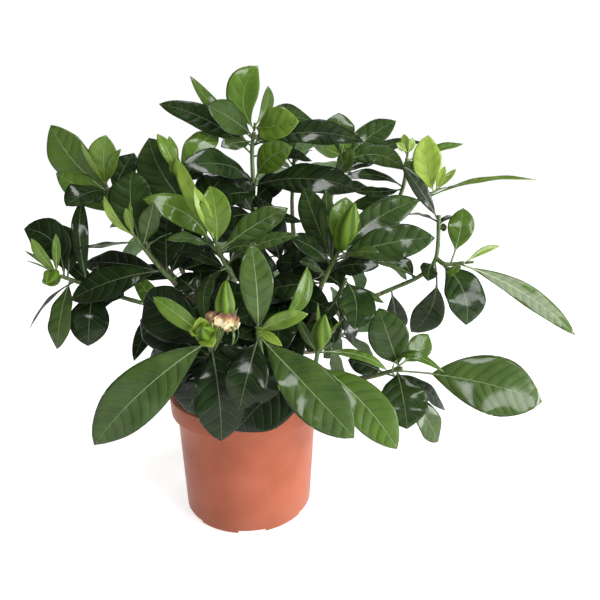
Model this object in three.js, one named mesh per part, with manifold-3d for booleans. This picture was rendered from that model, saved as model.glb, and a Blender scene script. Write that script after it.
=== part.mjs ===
import * as THREE from 'three';
import { mergeVertices } from 'three/addons/utils/BufferGeometryUtils.js';
import Module from 'manifold-3d';

const wasm = await Module();
wasm.setup();

// Pot, in millimetres
const RIM_RADIUS = 65;
const POT_HEIGHT = 107;
const COLLAR_HEIGHT = 17;
const COLLAR_FOOT = POT_HEIGHT - COLLAR_HEIGHT;
const SHOULDER_RADIUS = 59.3;
const COLLAR_ROUND = 1.8;
const RIM_ROUND = 0.8;
const FOOT_RADIUS = 54.8;
const HEEL_RADIUS = 4;
const WALL = 1.6;
const FLOOR_ROUND = 3;
const BASE_RISE = 3.5;
const CENTRE_DISC = 22;
const CHANNEL_SLOPE = 2;
const FOOT_RING = 6;
const POT_SIDES = 28;
const DRAIN_HOLES = 8;
const DRAIN_RADIUS = 3.2;
const DRAIN_SIDES = 8;
const FOOT_NOTCHES = 6;
const NOTCH_WIDTH = 22.5;
const NOTCH_HEIGHT = 4;
const NOTCH_DEPTH = 24;
const NOTCH_TURN = -1.44;

// Soil
const GAP = 0.3;
const SOIL_DEPTH = 13;
const SOIL_HUMP = 3;
const SOIL_SIDES = 20;
const SOIL_CRUMB = 1.6;

// The hump of the soil: shares of its radius, and of the hump's height there
const SOIL_RINGS = [[1, 0], [0.7, 0.5], [0.46, 0.8], [0, 1]];

// Wood and shoots
const TRUNK_FOOT = 4.6;
const TRUNK_TOP = 3.2;
const LIMB_START = 2.5;
const STEM_START = 1.8;
const STEM_END = 1.5;
const STEM_SIDES = 4;
const WOOD_SIDES = 6;
const RING_START = new THREE.Vector3(0.36, -0.87, 0.33);
const TIP_STUB = 7;
const STUB_RADIUS = 1;
const YOUNG_FIRST = 0.2;
const YOUNG_SPREAD = 0.7;

// Leaves
const BLADE = 0.7;
const PETIOLE_HALF = 0.8;
const PETIOLE_THICK = 1.2;
const PETIOLE_SHARE = 0.07;
const FOLD = 16;
const YOUNG_FOLD = 30;
const NARROW = 26;
const TIP_HALF = 0.35;
const OUTLINE_RISE = 1.05;
const OUTLINE_FALL = 0.85;
const LEAF_STEP = 2.5;
const ROOT_OUT = 0.9;
const ROOT_HUG = 1.8;
const STEM_ROOM = 0.8;

// Where a blade is measured along its length, for leaves longer than so many millimetres
const BLADE_STEPS = [[64, [0.14, 0.38, 0.66, 0.87, 1]], [52, [0.22, 0.54, 0.83, 1]], [0, [0.32, 0.74, 1]]];

// A bud's half width along its length
const BUD_PROFILE = [[0, 0.5], [0.2, 0.85], [0.45, 1], [0.75, 0.62], [1, 0.08]];
const BUD_SIDES = 6;

// The shoots at the back carry whorls of three leaves, each whorl steeper than the one under it
const WHORL = 3;
const WHORL_STEP = 5;
const WHORL_RISE = [-4, 24, 50];
const WHORL_DROP = 2;
const TURN_PLAY = 1 / 12;
const RISE_PLAY = 16;
const LENGTH_LOSS = 0.1;
const LENGTH_LEAST = 0.88;
const LENGTH_PLAY = 0.24;
const BACK_SLIMNESS = 0.42;
const BACK_ARCH = 0.1;

// Spent flower: a green cone in a ring of withered petals
const PETALS = 6;
const PETAL_WIDTH = 8;
const PETAL_FOLD = 24;
const PETAL_LENGTH = 7;
const PETAL_PLAY = 3;
const PETAL_ARCH = 0.2;
const PETAL_LEAN = 0.4;
const PETAL_DROOPS = [-0.9, -0.3];
const PETAL_DROP = [6, 4];
const RING_HALF = 1.5;
const RING_WALL = 2;
const RING_FLARE = 0.9;
const RING_GAP = 0.7;
const CONE_FOOT = 2.2;
const CONE_WIDTH = 13.5;
const STALK_RADIUS = 1.6;

// Places along the spent flower, as shares of the way from its foot to the cone's tip
const RING_PLACE = 0.16;
const CONE_START = 0.2;
const STALK_END = 0.3;
const CONE_PLACES = {
  stalk: [[212, 352, 93], [219, 338, 102]],
  foot: [224, 321, 107],
  tip: [226, 281, 104],
};

// The plant is measured as an eye in front of it sees it: a view 600 wide and 600 high, whose middle
// is 300, 300. A place is [across, down, near]: where it is seen, and how many millimetres it
// stands in front of the pot's axis.
const EYE = new THREE.Vector3(46, -427, 296);
const EYE_DOWN = THREE.MathUtils.degToRad(14.7);
const VIEW_MIDDLE = 300;
const VIEW_REACH = 533.3;

// Shoots, one by one. wood: the woody stem and the place on it that the limb leaves from. limb: places
// the limb passes. stem: places of the green stem. A leaf is [place on the stem, tip across, tip down,
// tip near, width, face, turn, arch, lightness, sideways bend, petiole share]. Young leaves stand
// round the tip, and a bud is [place, tip across, tip down, tip near, width].
const SHOOTS = {
  far_left: {
    wood: ['trunk_left', 4],
    limb: [[188, 312, 28], [165, 307, 28]],
    stem: [[142, 303, 30], [118, 296, 34], [84, 284, 38], [60, 276, 42]],
    leaves: [
      [3, 24, 229, 28, 29, 64, -10, 0.06, 0.05, 0.24],
      [3, 60, 225, 24, 19, 68, 10, 0.06, 0.08, 0.1],
      [2, 82, 200, 20, 13, 70, 20, 0.06, 0.1, -0.05],
      [2, 124, 297, 50, 22, 44, 0, 0.1, 0.02],
      [2, 88, 346, 55, 29, 70, 15, 0.12, 0.05],
      [3, 57, 349, 62, 21, 66, -20, 0.12, 0.3, -0.08],
      [3, 30, 328, 44, 8, 30, -40, 0.06, 0.1, 0.06],
    ],
    young: [
      [3, 31, 238, 48, 10, 75, -10, 0.05, 0.8],
      [3, 56, 234, 40, 7, 70, 30, 0.05, 0.6],
      [3, 27, 261, 50, 4, 10, 0, 0.05, 0.5],
      [3, 25, 251, 36, 4, 10, 0, 0.05, 0.5],
    ],
    bud: [3, 46, 283, 74, 13],
  },
  upper_left: {
    wood: ['trunk_left', 4],
    limb: [[186, 292, 14], [162, 264, 6]],
    stem: [[140, 240, 5], [124, 212, 8], [108, 188, 12]],
    leaves: [
      [2, 66, 206, 48, 27, 66, -10, 0.1, 0.08],
      [2, 134, 153, -8, 22, 55, 0, 0.05, 0.12],
      [2, 51, 125, 6, 32, 74, -15, 0.05, 0.45, -0.06],
      [1, 56, 173, 12, 23, 70, 0, 0.06, 0.5],
    ],
    young: [
      [2, 106, 135, 24, 24, 80, 10, 0.05, 0.7, -0.04],
      [2, 81, 143, 34, 7, 75, -20, 0.04, 0.85, 0.03],
      [2, 121, 149, 36, 12, 70, -20, 0.06, 0.75, 0.06],
    ],
  },
  left: {
    wood: ['trunk_left', 4],
    limb: [[190, 306, 24]],
    stem: [[172, 280, 40], [160, 268, 44], [136, 238, 52]],
    leaves: [
      [1, 71, 300, 62, 28, 50, 0, 0.1, 0.05],
      [1, 84, 264, 20, 22, 44, 0, 0.08, 0.02],
      [2, 75, 248, 46, 13, 10, 0, -0.01, 0.2],
      [2, 133, 171, 24, 34, 80, 0, 0.06, 0.15, -0.05],
      [2, 154, 203, 56, 15, 70, 20, 0.06, 0.25],
      [2, 172, 233, 60, 12, 10, 0, 0.05, 0.15],
      [1, 168, 213, 10, 30, 66, 0, 0.08, 0.03],
    ],
    young: [
      [2, 104, 196, 56, 8, 70, -30, 0.04, 0.9, -0.1],
      [2, 126, 208, 62, 7, 80, 0, 0.04, 0.75],
      [2, 130, 202, 50, 4, 70, 0, 0.04, 0.6],
    ],
  },
  upper_mid_left: {
    wood: ['trunk_mid', 4],
    limb: [[240, 270, 4]],
    stem: [[222, 258, 20], [208, 240, 26], [190, 208, 30], [178, 178, 30]],
    leaves: [
      [2, 149, 138, 10, 35, 75, -10, 0.06, 0.2, -0.06],
      [3, 217, 133, -12, 22, 65, 10, 0.1, 0.55, -0.04],
      [1, 143, 199, 50, 22, 60, -10, 0.18, 0.62, 0.1],
    ],
    young: [
      [3, 157, 134, 36, 11, 74, 10, 0.05, 0.72, 0.05],
      [3, 169, 136, 26, 9, 60, 50, 0.04, 0.6],
    ],
    bud: [3, 176, 160, 44, 10],
  },
  mid_left: {
    wood: ['trunk_left', 4],
    limb: [[224, 298, 38]],
    stem: [[232, 276, 44], [224, 262, 52], [217, 246, 60]],
    leaves: [
      [2, 167, 240, 84, 18, 24, 0, 0.1, 0.25],
      [2, 288, 208, 46, 23, 50, 0, 0.06, 0.18],
      [1, 299, 235, 80, 15, 40, 0, 0.08, 0.35],
      [1, 206, 320, 100, 15, 60, -30, 0.14, 0.2, 0.06],
      [1, 178, 252, 44, 20, 20, 0, 0.1, 0.04],
    ],
    young: [
      [2, 210, 186, 62, 24, 64, 0, 0.05, 0.82, 0.06],
      [2, 176, 158, 50, 13, 78, -15, 0.03, 0.85],
      [2, 194, 187, 66, 11, 80, 20, 0.03, 0.9],
    ],
  },
  top: {
    wood: ['trunk_mid', 5],
    limb: [],
    stem: [[254, 214, -14], [253, 180, -12], [252, 150, -14], [254, 132, -14]],
    leaves: [
      [1, 181, 167, 40, 29, 52, 0, 0.15, 0.1],
      [1, 361, 191, 26, 30, 52, 0, 0.1, 0.06, -0.02],
      [2, 159, 104, 0, 22, 55, 0, 0.1, 0.12, 0.03],
      [3, 207, 105, 18, 25, 66, 0, 0.04, 0.22],
      [3, 216, 121, -50, 14, -24, 0, 0.05, 0.12],
      [3, 221, 147, 6, 16, 50, 0, 0.04, 0.22],
      [3, 364, 142, 10, 24, 52, 0, 0.1, 0.08, -0.03],
      [3, 316, 124, -40, 27, 60, 0, 0.15, 0.18, -0.14],
      [3, 190, 76, -26, 12, 60, 0, -0.1, 0.55],
      [1, 292, 147, 36, 22, 78, 0, 0.06, 0.66, -0.1, 0.3],
      [1, 198, 203, 24, 26, 56, 0, 0.05, 0.05],
      [1, 270, 207, 6, 17, 60, 0, 0.06, 0.0],
    ],
    young: [
      [3, 258, 66, -16, 30, 80, -10, 0.06, 0.55, -0.2],
      [3, 299, 121, 12, 30, 78, 15, 0.08, 0.66, 0.06],
      [3, 268, 86, -30, 11, 74, 20, 0.04, 0.4, 0.1],
    ],
  },
  top_right: {
    wood: ['trunk_back', 4],
    limb: [[314, 236, -46]],
    stem: [[330, 205, -34], [334, 180, -34], [340, 158, -36]],
    leaves: [
      [2, 339, 113, -60, 27, 74, 0, 0.06, 0.3],
      [2, 396, 121, -44, 23, 70, 0, 0.04, 0.22, -0.04],
      [2, 404, 170, -14, 20, 60, 0, 0.06, 0.28, -0.2],
      [2, 422, 142, -70, 16, 40, 0, 0.06, 0.12, -0.04],
      [2, 379, 160, -40, 13, 34, 0, 0.04, 0.16],
    ],
    young: [
      [1, 312, 144, 2, 14, 80, -20, 0.05, 0.45],
      [2, 346, 134, -34, 14, 80, 20, 0.05, 0.55],
    ],
  },
  right_top: {
    wood: ['trunk_back', 4],
    limb: [[340, 246, -46], [376, 230, -32]],
    stem: [[404, 214, -20], [412, 204, -16], [432, 193, -10]],
    leaves: [
      [2, 404, 162, -6, 20, 66, 10, 0.06, 0.4],
      [2, 536, 180, 0, 10, 22, 0, 0.09, 0.45],
      [2, 461, 186, 30, 10, 20, 0, 0.06, 0.12],
      [1, 352, 204, -54, 18, 60, 0, 0.05, 0.3],
    ],
    young: [
      [2, 428, 135, 0, 25, 78, -10, 0.1, 0.62, -0.08],
      [2, 445, 166, -6, 7, 80, 0, 0.04, 0.95],
      [2, 456, 169, -10, 6, 50, 0, 0.04, 0.9],
    ],
  },
  behind_right_top: {
    wood: ['trunk_back', 4],
    limb: [[336, 250, -60], [374, 230, -52]],
    stem: [[396, 205, -40], [404, 184, -36], [407, 158, -34]],
    leaves: [
      [1, 342, 178, -20, 14, 40, 0, 0.13, 0.05],
      [1, 353, 191, -12, 13, 40, 0, 0.02, 0.05, -0.08],
      [2, 463, 144, -60, 10, 40, 0, 0.06, 0.5],
    ],
    young: [
      [2, 404, 134, -34, 9, 80, -20, 0.03, 0.95],
      [2, 413, 138, -34, 8, 80, 20, 0.03, 0.92],
      [2, 396, 143, -30, 7, 60, -40, 0.03, 0.88],
    ],
  },
  right: {
    wood: ['trunk_right', 4],
    limb: [[346, 308, 22]],
    stem: [[380, 294, 18], [394, 288, 19], [420, 276, 20], [436, 258, 22], [439, 215, 18]],
    leaves: [
      [4, 402, 165, 34, 11, 66, -10, 0.06, 0.02],
      [4, 400, 216, -14, 12, 0, 0, 0.08, 0.1],
      [4, 458, 217, -10, 10, 0, 0, 0.08, 0.12],
      [4, 447, 227, 20, 7, 60, 0, 0.02, 0.3],
      [3, 411, 332, 4, 25, 72, -10, 0.06, 0.3, -0.14, 0.28],
      [3, 428, 281, 40, 15, 76, 0, 0.06, 0.02, 0.1],
      [1, 396, 336, -10, 20, 72, 0, 0.08, 0.03],
    ],
    young: [],
  },
  right_side: {
    joins: 'right',
    stem: [[436, 258, 22], [444, 264, 26], [454, 264, 28], [464, 263, 30]],
    leaves: [
      [2, 463, 208, 20, 20, 76, -15, 0.08, 0.55, 0.04, 0.25],
      [3, 575, 335, 34, 17, 66, 0, 0.01, 0.42, -0.06],
      [3, 452, 276, 44, 12, -30, 0, 0.06, 0.6],
      [1, 466, 325, 46, 33, 70, 10, 0.12, 0.12, -0.1],
    ],
    young: [
      [3, 500, 246, 24, 6, 70, 0, 0.0, 0.85, -0.08],
    ],
  },
  centre_right: {
    wood: ['trunk_right', 4],
    limb: [],
    stem: [[322, 284, 46], [330, 268, 52], [338, 252, 58]],
    leaves: [
      [2, 419, 200, 40, 23, 68, 0, 0.05, 0.22, -0.07],
      [2, 435, 238, 64, 26, 72, 0, 0.06, 0.24, -0.03],
      [2, 379, 252, 96, 14, 40, 0, 0.06, 0.36],
      [2, 304, 187, 34, 22, 70, -20, 0.06, 0.15],
      [2, 290, 237, 76, 19, 50, 0, 0.08, 0.08],
      [1, 379, 266, 70, 22, 40, 0, 0.1, 0.02],
      [2, 326, 190, 42, 13, 80, -10, 0.06, 0.28],
      [2, 336, 212, 54, 11, 80, 10, 0.04, 0.15],
    ],
    young: [
      [2, 346, 197, 56, 24, 82, 0, 0.06, 0.55],
    ],
    bud: [2, 355, 203, 80, 15],
  },
  front_left: {
    wood: ['trunk_left', 2],
    limb: [[217, 372, 52]],
    stem: [[214, 366, 84], [212, 354, 92], [208, 340, 100]],
    leaves: [
      [2, 94, 445, 118, 35, 72, 14, 0.06, 0.28, 0.05, 0.03],
      [2, 221, 441, 112, 33, 76, 0, 0.12, 0.06, -0.05, 0.03],
      [2, 146, 293, 66, 37, 72, -10, 0.1, 0.03],
      [1, 140, 320, 50, 28, 66, -10, 0.08, 0.02],
      [1, 150, 358, 64, 25, 70, 0, 0.1, 0.02],
      [1, 133, 271, 34, 15, 50, 0, 0.08, 0.55, -0.04],
      [1, 184, 392, 84, 24, 70, 0, 0.1, 0.05],
    ],
    young: [
      [2, 153, 297, 104, 14, 70, -10, 0.08, 0.7, 0.03],
      [2, 192, 336, 118, 15, 64, -20, 0.14, 0.9],
      [2, 200, 317, 113, 15, 74, 0, 0.12, 0.95],
      [2, 215, 322, 112, 14, 74, 20, 0.12, 0.88],
      [2, 213, 347, 120, 14, 60, 0, 0.12, 0.9],
    ],
    bud: [2, 203, 327, 122, 14],
  },
  front_mid: {
    wood: ['trunk_mid', 2],
    limb: [[258, 374, 36]],
    stem: [[262, 360, 84], [260, 346, 94], [258, 333, 104]],
    leaves: [
      [2, 251, 243, 100, 22, 80, 8, 0.07, 0.45, 0.02],
      [2, 354, 438, 128, 34, 74, 10, 0.08, 0.3],
      [2, 239, 410, 120, 28, 74, 0, 0.12, 0.04, 0.0, 0.03],
    ],
    young: [
      [2, 308, 314, 118, 12, 70, 20, 0.08, 0.82, -0.05],
      [2, 282, 346, 128, 7, 60, 0, 0.08, 0.95],
      [2, 307, 267, 92, 12, 76, 8, 0.04, 0.62, 0.2, 0.3],
    ],
  },
  front_right: {
    wood: ['trunk_right', 2],
    limb: [[304, 376, 44]],
    stem: [[314, 372, 66], [316, 362, 72], [318, 350, 78]],
    leaves: [
      [2, 387, 370, 74, 9, 36, 0, 0.17, 0.5],
      [2, 298, 318, 76, 8, 60, -30, 0.05, 0.4],
      [1, 397, 449, 96, 31, 74, 10, 0.08, 0.45, -0.05],
      [1, 235, 431, 100, 42, 74, 0, 0.1, 0.04, 0.06],
    ],
    young: [
      [2, 318, 303, 78, 3, 60, 0, 0.02, 0.7],
      [2, 343, 319, 80, 3, 40, 0, 0.04, 0.6],
    ],
    bud: [2, 325, 315, 92, 14],
  },
  lower_right: {
    wood: ['trunk_right', 2],
    limb: [[330, 380, 34]],
    stem: [[374, 376, 44], [388, 372, 50], [402, 368, 56]],
    leaves: [
      [2, 379, 308, 58, 30, 72, -10, 0.1, 0.22],
      [2, 407, 429, 84, 36, 74, 0, 0.12, 0.16],
      [2, 542, 402, 72, 44, 66, 0, 0.08, 0.38, -0.04, 0.24],
      [2, 438, 442, 46, 23, 66, 20, 0.08, 0.3, 0.0, 0.3],
      [1, 445, 410, 40, 18, 40, 40, 0.1, 0.05],
      [2, 428, 334, 36, 19, 74, 0, 0.06, 0.45, 0.06, 0.3],
      [1, 348, 360, 50, 19, 50, 0, 0.1, 0.03],
      [2, 444, 372, 84, 9, 30, 0, 0.36, 0.55],
    ],
    young: [],
  },
  inner_right: {
    wood: ['trunk_right', 4],
    limb: [],
    stem: [[328, 312, 36], [338, 296, 36], [346, 278, 36]],
    leaves: [
      [2, 354, 329, 66, 30, 70, 10, 0.1, 0.12, -0.08],
      [1, 353, 343, 40, 17, 60, 30, 0.1, 0.04],
      [2, 384, 303, 34, 8, 40, 10, 0.04, 0.3],
      [2, 300, 262, 8, 26, 50, 0, 0.12, 0.03],
    ],
    young: [],
  },
  inner_left: {
    wood: ['trunk_left', 4],
    limb: [],
    stem: [[205, 316, 32], [201, 303, 36], [199, 290, 40]],
    leaves: [
      [2, 206, 236, -14, 20, 60, 0, 0.08, 0.04],
      [1, 176, 320, 50, 28, 66, 0, 0.1, 0.02],
      [1, 248, 290, 60, 26, 70, 0, 0.1, 0.02],
      [1, 134, 361, 60, 17, 66, -10, 0.06, 0.02, 0.2],
    ],
    young: [],
  },
  inner_mid: {
    wood: ['trunk_mid', 2],
    limb: [[268, 340, 0]],
    stem: [[276, 320, 6], [280, 290, 10], [282, 262, 14]],
    leaves: [
      [2, 262, 200, 6, 26, 70, 0, 0.08, 0.02],
      [2, 312, 244, 50, 28, 60, 0, 0.1, 0.03],
      [1, 330, 310, 60, 26, 60, 0, 0.12, 0.02],
      [1, 278, 356, 66, 30, 74, 0, 0.1, 0.04],
      [2, 236, 256, 40, 24, 50, 0, 0.1, 0.03],
      [1, 270, 304, 50, 25, 60, 0, 0.12, 0.04],
    ],
    young: [],
  },
};

// Woody stems: the foot is under the soil, and the last place is where the highest limbs leave
const TRUNKS = {
  trunk_left: [[232, 430, 10], [229, 404, 12], [222, 372, 18], [214, 344, 24], [208, 326, 28]],
  trunk_mid: [[252, 428, -4], [253, 402, -6], [256, 360, -10], [257, 320, -12], [256, 280, -14],
    [255, 240, -14]],
  trunk_right: [[272, 430, 10], [276, 404, 12], [290, 370, 18], [304, 340, 24], [314, 318, 28]],
  trunk_back: [[258, 420, -28], [262, 396, -32], [272, 350, -44], [284, 310, -54], [296, 270, -58]],
};

// Shoots at the back: where the stem ends, how far the leaves reach and how the shoot leans
const BACK_SHOOTS = {
  back_left: { wood: ['trunk_left', 4], stem: [[172, 250, -30], [152, 214, -52]], reach: 46, leaves: 6 },
  back_top: { wood: ['trunk_back', 4], stem: [[292, 200, -80], [294, 158, -92]], reach: 52, leaves: 6 },
  back_mid: { wood: ['trunk_back', 3], stem: [[258, 280, -84], [246, 246, -104]], reach: 56, leaves: 6 },
  back_right: { wood: ['trunk_back', 4], stem: [[346, 260, -84], [366, 236, -100]], reach: 52, leaves: 6 },
  back_low_left: { wood: ['trunk_back', 2], stem: [[226, 350, -70], [206, 326, -92]], reach: 54, leaves: 6 },
  back_low_right: { wood: ['trunk_back', 2], stem: [[320, 350, -76], [350, 330, -98]], reach: 54, leaves: 6 },
};

const LEAF_SKIN = { color: '#46703a', roughness: 0.35 };
const TIP_SKIN = { color: '#7ea53e', roughness: 0.4 };
const BARK = { color: '#6f6a4c', roughness: 0.85 };
const TERRACOTTA = { color: '#c47a5e', roughness: 0.55 };
const PEAT = { color: '#3c2c20', roughness: 1 };
const WITHERED = { color: '#e3d2ad', roughness: 0.9 };

function seen([across, down, near]) {
  const right = (across - VIEW_MIDDLE) / VIEW_REACH;
  const up = (VIEW_MIDDLE - down) / VIEW_REACH;
  const ray = new THREE.Vector3(
    right,
    Math.cos(EYE_DOWN) + up * Math.sin(EYE_DOWN),
    up * Math.cos(EYE_DOWN) - Math.sin(EYE_DOWN),
  );
  return EYE.clone().addScaledVector(ray, (-near - EYE.y) / ray.y);
}

function between(from, to, share) {
  return from.clone().lerp(to, share);
}

// A steady random number for each whole number
function chance(number) {
  const wave = Math.sin(number * 12.9898) * 43758.5453;
  return wave - Math.floor(wave);
}

// A closed skin over rings of points that all turn the same way. The second half of each ring
// is split the other way round, so that a blade's two faces are alike.
function loft(rings) {
  const count = rings[0].length;
  const last = rings.length - 1;
  const index = [];
  for (let ring = 0; ring < last; ring += 1) {
    for (let point = 0; point < count; point += 1) {
      const next = (point + 1) % count;
      const a = ring * count + point;
      const b = ring * count + next;
      const c = b + count;
      const d = a + count;
      index.push(...(point < count / 2 ? [a, b, c, a, c, d] : [a, b, d, b, c, d]));
    }
  }
  for (let point = 0; point < count / 2 - 1; point += 1) {
    const corners = [point, point + 1, count - 2 - point, count - 1 - point];
    const [e, f, g, h] = corners.map((corner) => last * count + corner);
    const [i, j, k, l] = corners;
    index.push(e, f, g, e, g, h, i, k, j, i, l, k);
  }
  const geometry = new THREE.BufferGeometry();
  const position = rings.flat().flatMap((point) => point.toArray());
  geometry.setAttribute('position', new THREE.Float32BufferAttribute(position, 3));
  geometry.setIndex(index);
  return geometry;
}

function solid(geometry) {
  const bare = geometry.clone();
  bare.deleteAttribute('normal');
  bare.deleteAttribute('uv');
  const merged = mergeVertices(bare, 1e-4);
  return new wasm.Manifold(new wasm.Mesh({
    numProp: 3,
    vertProperties: new Float32Array(merged.attributes.position.array),
    triVerts: new Uint32Array(merged.index.array),
  }));
}

function fuse(solids) {
  return solids.reduce((whole, piece) => whole.add(piece));
}

// A direction turned square to a way
function levelled(direction, way) {
  return direction.clone().addScaledVector(way, -direction.dot(way)).normalize();
}

function ringRound(centre, way, side, radius, sides) {
  const other = new THREE.Vector3().crossVectors(way, side);
  return Array.from({ length: sides }, (_, corner) => {
    const turn = (corner / sides) * 2 * Math.PI;
    return centre.clone()
      .addScaledVector(side, radius * Math.cos(turn))
      .addScaledVector(other, radius * Math.sin(turn));
  });
}

// A stem through its places, from one radius to another. Its first end can be told which way to face.
function stemSolid(places, startRadius, endRadius, { startWay, endWay, sides = STEM_SIDES } = {}) {
  const curve = new THREE.CatmullRomCurve3(places, false, 'centripetal');
  const steps = places.length > 2 ? places.length : 1;
  let side = RING_START;
  const rings = [];
  for (let step = 0; step <= steps; step += 1) {
    let way = curve.getTangent(step / steps);
    if (step === 0 && startWay) way = startWay;
    if (step === steps && endWay) way = endWay;
    side = levelled(side, way);
    const radius = THREE.MathUtils.lerp(startRadius, endRadius, step / steps);
    rings.push(ringRound(curve.getPoint(step / steps), way, side, radius, sides));
  }
  return solid(loft(rings));
}

// How wide a blade is along its length, as a share of its greatest half width
function outline(share) {
  const widest = OUTLINE_RISE / (OUTLINE_RISE + OUTLINE_FALL);
  const peak = widest ** OUTLINE_RISE * (1 - widest) ** OUTLINE_FALL;
  return (share ** OUTLINE_RISE * (1 - share) ** OUTLINE_FALL) / peak;
}

function bladeSolid({ base, tip, width, lookUp, arch = 0, bend = 0, petiole = PETIOLE_SHARE, fold = FOLD }) {
  const chord = tip.clone().sub(base);
  const length = chord.length();
  const along = chord.clone().divideScalar(length);
  const up = levelled(lookUp, along);
  const side = new THREE.Vector3().crossVectors(along, up);
  const bow = up.clone().multiplyScalar(arch).addScaledVector(side, bend).multiplyScalar(length);
  const steps = BLADE_STEPS.find(([least]) => length > least)[1];
  const lean = THREE.MathUtils.degToRad(fold);
  const ringAt = (u, half, thick) => {
    const middle = base.clone().addScaledVector(chord, u).addScaledVector(bow, 4 * u * (1 - u));
    const way = chord.clone().addScaledVector(bow, 4 * (1 - 2 * u)).normalize();
    const across = levelled(side, way);
    const face = new THREE.Vector3().crossVectors(across, way);
    const point = (edge, lift) => middle.clone()
      .addScaledVector(across, edge * half * Math.cos(lean))
      .addScaledVector(face, Math.abs(edge) * half * Math.sin(lean) + lift * thick / 2);
    const edges = width < NARROW ? [-1, 1] : [-1, 0, 1];
    return [...edges.map((edge) => point(edge, 1)), ...edges.reverse().map((edge) => point(edge, -1))];
  };
  const rings = [ringAt(0, PETIOLE_HALF, PETIOLE_THICK)];
  steps.forEach((share) => {
    const half = Math.max((width / 2) * outline(share), TIP_HALF);
    rings.push(ringAt(petiole + share * (1 - petiole), half, BLADE));
  });
  return solid(loft(rings));
}

// Which way a leaf's upper face looks: face 0 is up, 90 is to the front, and turn swings it right
function lookOf(face, turn) {
  const tilt = THREE.MathUtils.degToRad(face);
  const swing = THREE.MathUtils.degToRad(turn);
  return new THREE.Vector3(
    Math.sin(tilt) * Math.sin(swing),
    -Math.sin(tilt) * Math.cos(swing),
    Math.cos(tilt),
  );
}

function budSolid(base, tip, width) {
  const way = tip.clone().sub(base).normalize();
  const side = levelled(RING_START, way);
  return solid(loft(BUD_PROFILE.map(([share, part]) =>
    ringRound(between(base, tip, share), way, side, part * (width / 2), BUD_SIDES))));
}

function leafSolid(root, [, across, down, near, width, face, turn, arch, , bend, petiole], fold) {
  return bladeSolid({
    base: root,
    tip: seen([across, down, near]),
    width,
    lookUp: lookOf(face, turn),
    arch,
    bend,
    petiole,
    fold,
  });
}

// Leaves at the same place on a stem start one below another, each on the side of the stem that
// its lower face looks to
function rootOf(places, order, [node, across, down, near, , face, turn]) {
  const from = Math.max(node - 1, 0);
  const way = places[from + 1].clone().sub(places[from]).normalize();
  const room = places[from].distanceTo(places[from + 1]) * STEM_ROOM;
  const axis = places[node].clone().addScaledVector(way, node > 0 ? -Math.min(LEAF_STEP * order, room) : 0);
  const aim = seen([across, down, near]).sub(axis).normalize();
  const out = aim.clone().sub(lookOf(face, turn));
  return axis.addScaledVector(levelled(out, way), ROOT_OUT + (ROOT_HUG - ROOT_OUT) * Math.abs(aim.dot(way)));
}

function youngRoot(stub, way, share, [, across, down, near]) {
  const axis = between(...stub, YOUNG_FIRST + YOUNG_SPREAD * share);
  const out = seen([across, down, near]).sub(axis).normalize();
  return axis.addScaledVector(out.addScaledVector(way, -out.dot(way)), STUB_RADIUS / 2);
}

function shootParts(shoot) {
  const places = shoot.stem.map(seen);
  const end = places.at(-1);
  const way = end.clone().sub(places.at(-2)).normalize();
  const startWay = places[1].clone().sub(places[0]).normalize();
  const counts = {};
  const green = [stemSolid(places, STEM_START, STEM_END, { startWay, endWay: way })];
  shoot.leaves.forEach((leaf) => {
    counts[leaf[0]] = (counts[leaf[0]] ?? 0) + 1;
    green.push(leafSolid(rootOf(places, counts[leaf[0]], leaf), leaf));
  });
  const young = [];
  const stub = [end.clone().addScaledVector(way, GAP), end.clone().addScaledVector(way, TIP_STUB)];
  shoot.young.forEach((leaf, order) => {
    const root = youngRoot(stub, way, order / shoot.young.length, leaf);
    young.push(leafSolid(root, leaf, YOUNG_FOLD));
  });
  if (shoot.bud) young.push(budSolid(between(...stub, 0.5), seen(shoot.bud.slice(1, 4)), shoot.bud[4]));
  if (young.length > 0) young.unshift(stemSolid(stub, STUB_RADIUS, STUB_RADIUS));
  return { green, young };
}

// The limb that carries a shoot: from its woody stem, and the last stretch runs straight into the shoot
function limbSolid(trunk, shoot) {
  const places = shoot.stem.map(seen);
  const way = places[1].clone().sub(places[0]).normalize();
  const route = [trunk[shoot.wood[1]], ...(shoot.limb ?? []).map(seen),
    places[0].clone().addScaledVector(way, -GAP)];
  return stemSolid(route, LIMB_START, STEM_START, { endWay: way });
}

// A shoot grown by rule, each whorl of leaves turned from the one under it
function backSolid(shoot, number) {
  const places = shoot.stem.map(seen);
  const way = places[1].clone().sub(places[0]).normalize();
  const side = levelled(new THREE.Vector3(1, 0, 0), way);
  const other = new THREE.Vector3().crossVectors(way, side);
  const green = [stemSolid(places, STEM_START, STEM_END, { startWay: way, endWay: way })];
  for (let leaf = 0; leaf < shoot.leaves; leaf += 1) {
    const whorl = Math.floor(leaf / WHORL);
    const luck = chance(number * 10 + leaf);
    const play = luck - 0.5;
    const turn = ((leaf % WHORL) / WHORL + whorl / (2 * WHORL) + TURN_PLAY * play) * 2 * Math.PI;
    const rise = THREE.MathUtils.degToRad(WHORL_RISE[whorl] + RISE_PLAY * play);
    const length = shoot.reach * (1 - LENGTH_LOSS * whorl) * (LENGTH_LEAST + LENGTH_PLAY * luck);
    const out = side.clone().multiplyScalar(Math.cos(turn)).addScaledVector(other, Math.sin(turn));
    const aim = out.clone().multiplyScalar(Math.cos(rise)).addScaledVector(way, Math.sin(rise));
    const base = places[1].clone().addScaledVector(way, -WHORL_STEP * (2 - whorl) - WHORL_DROP)
      .addScaledVector(out, ROOT_OUT);
    green.push(bladeSolid({
      base,
      tip: base.clone().addScaledVector(aim, length),
      width: length * BACK_SLIMNESS,
      lookUp: way,
      arch: BACK_ARCH,
    }));
  }
  return green;
}

function wallRadius(height) {
  return FOOT_RADIUS + ((SHOULDER_RADIUS - FOOT_RADIUS) * height) / COLLAR_FOOT;
}

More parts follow.
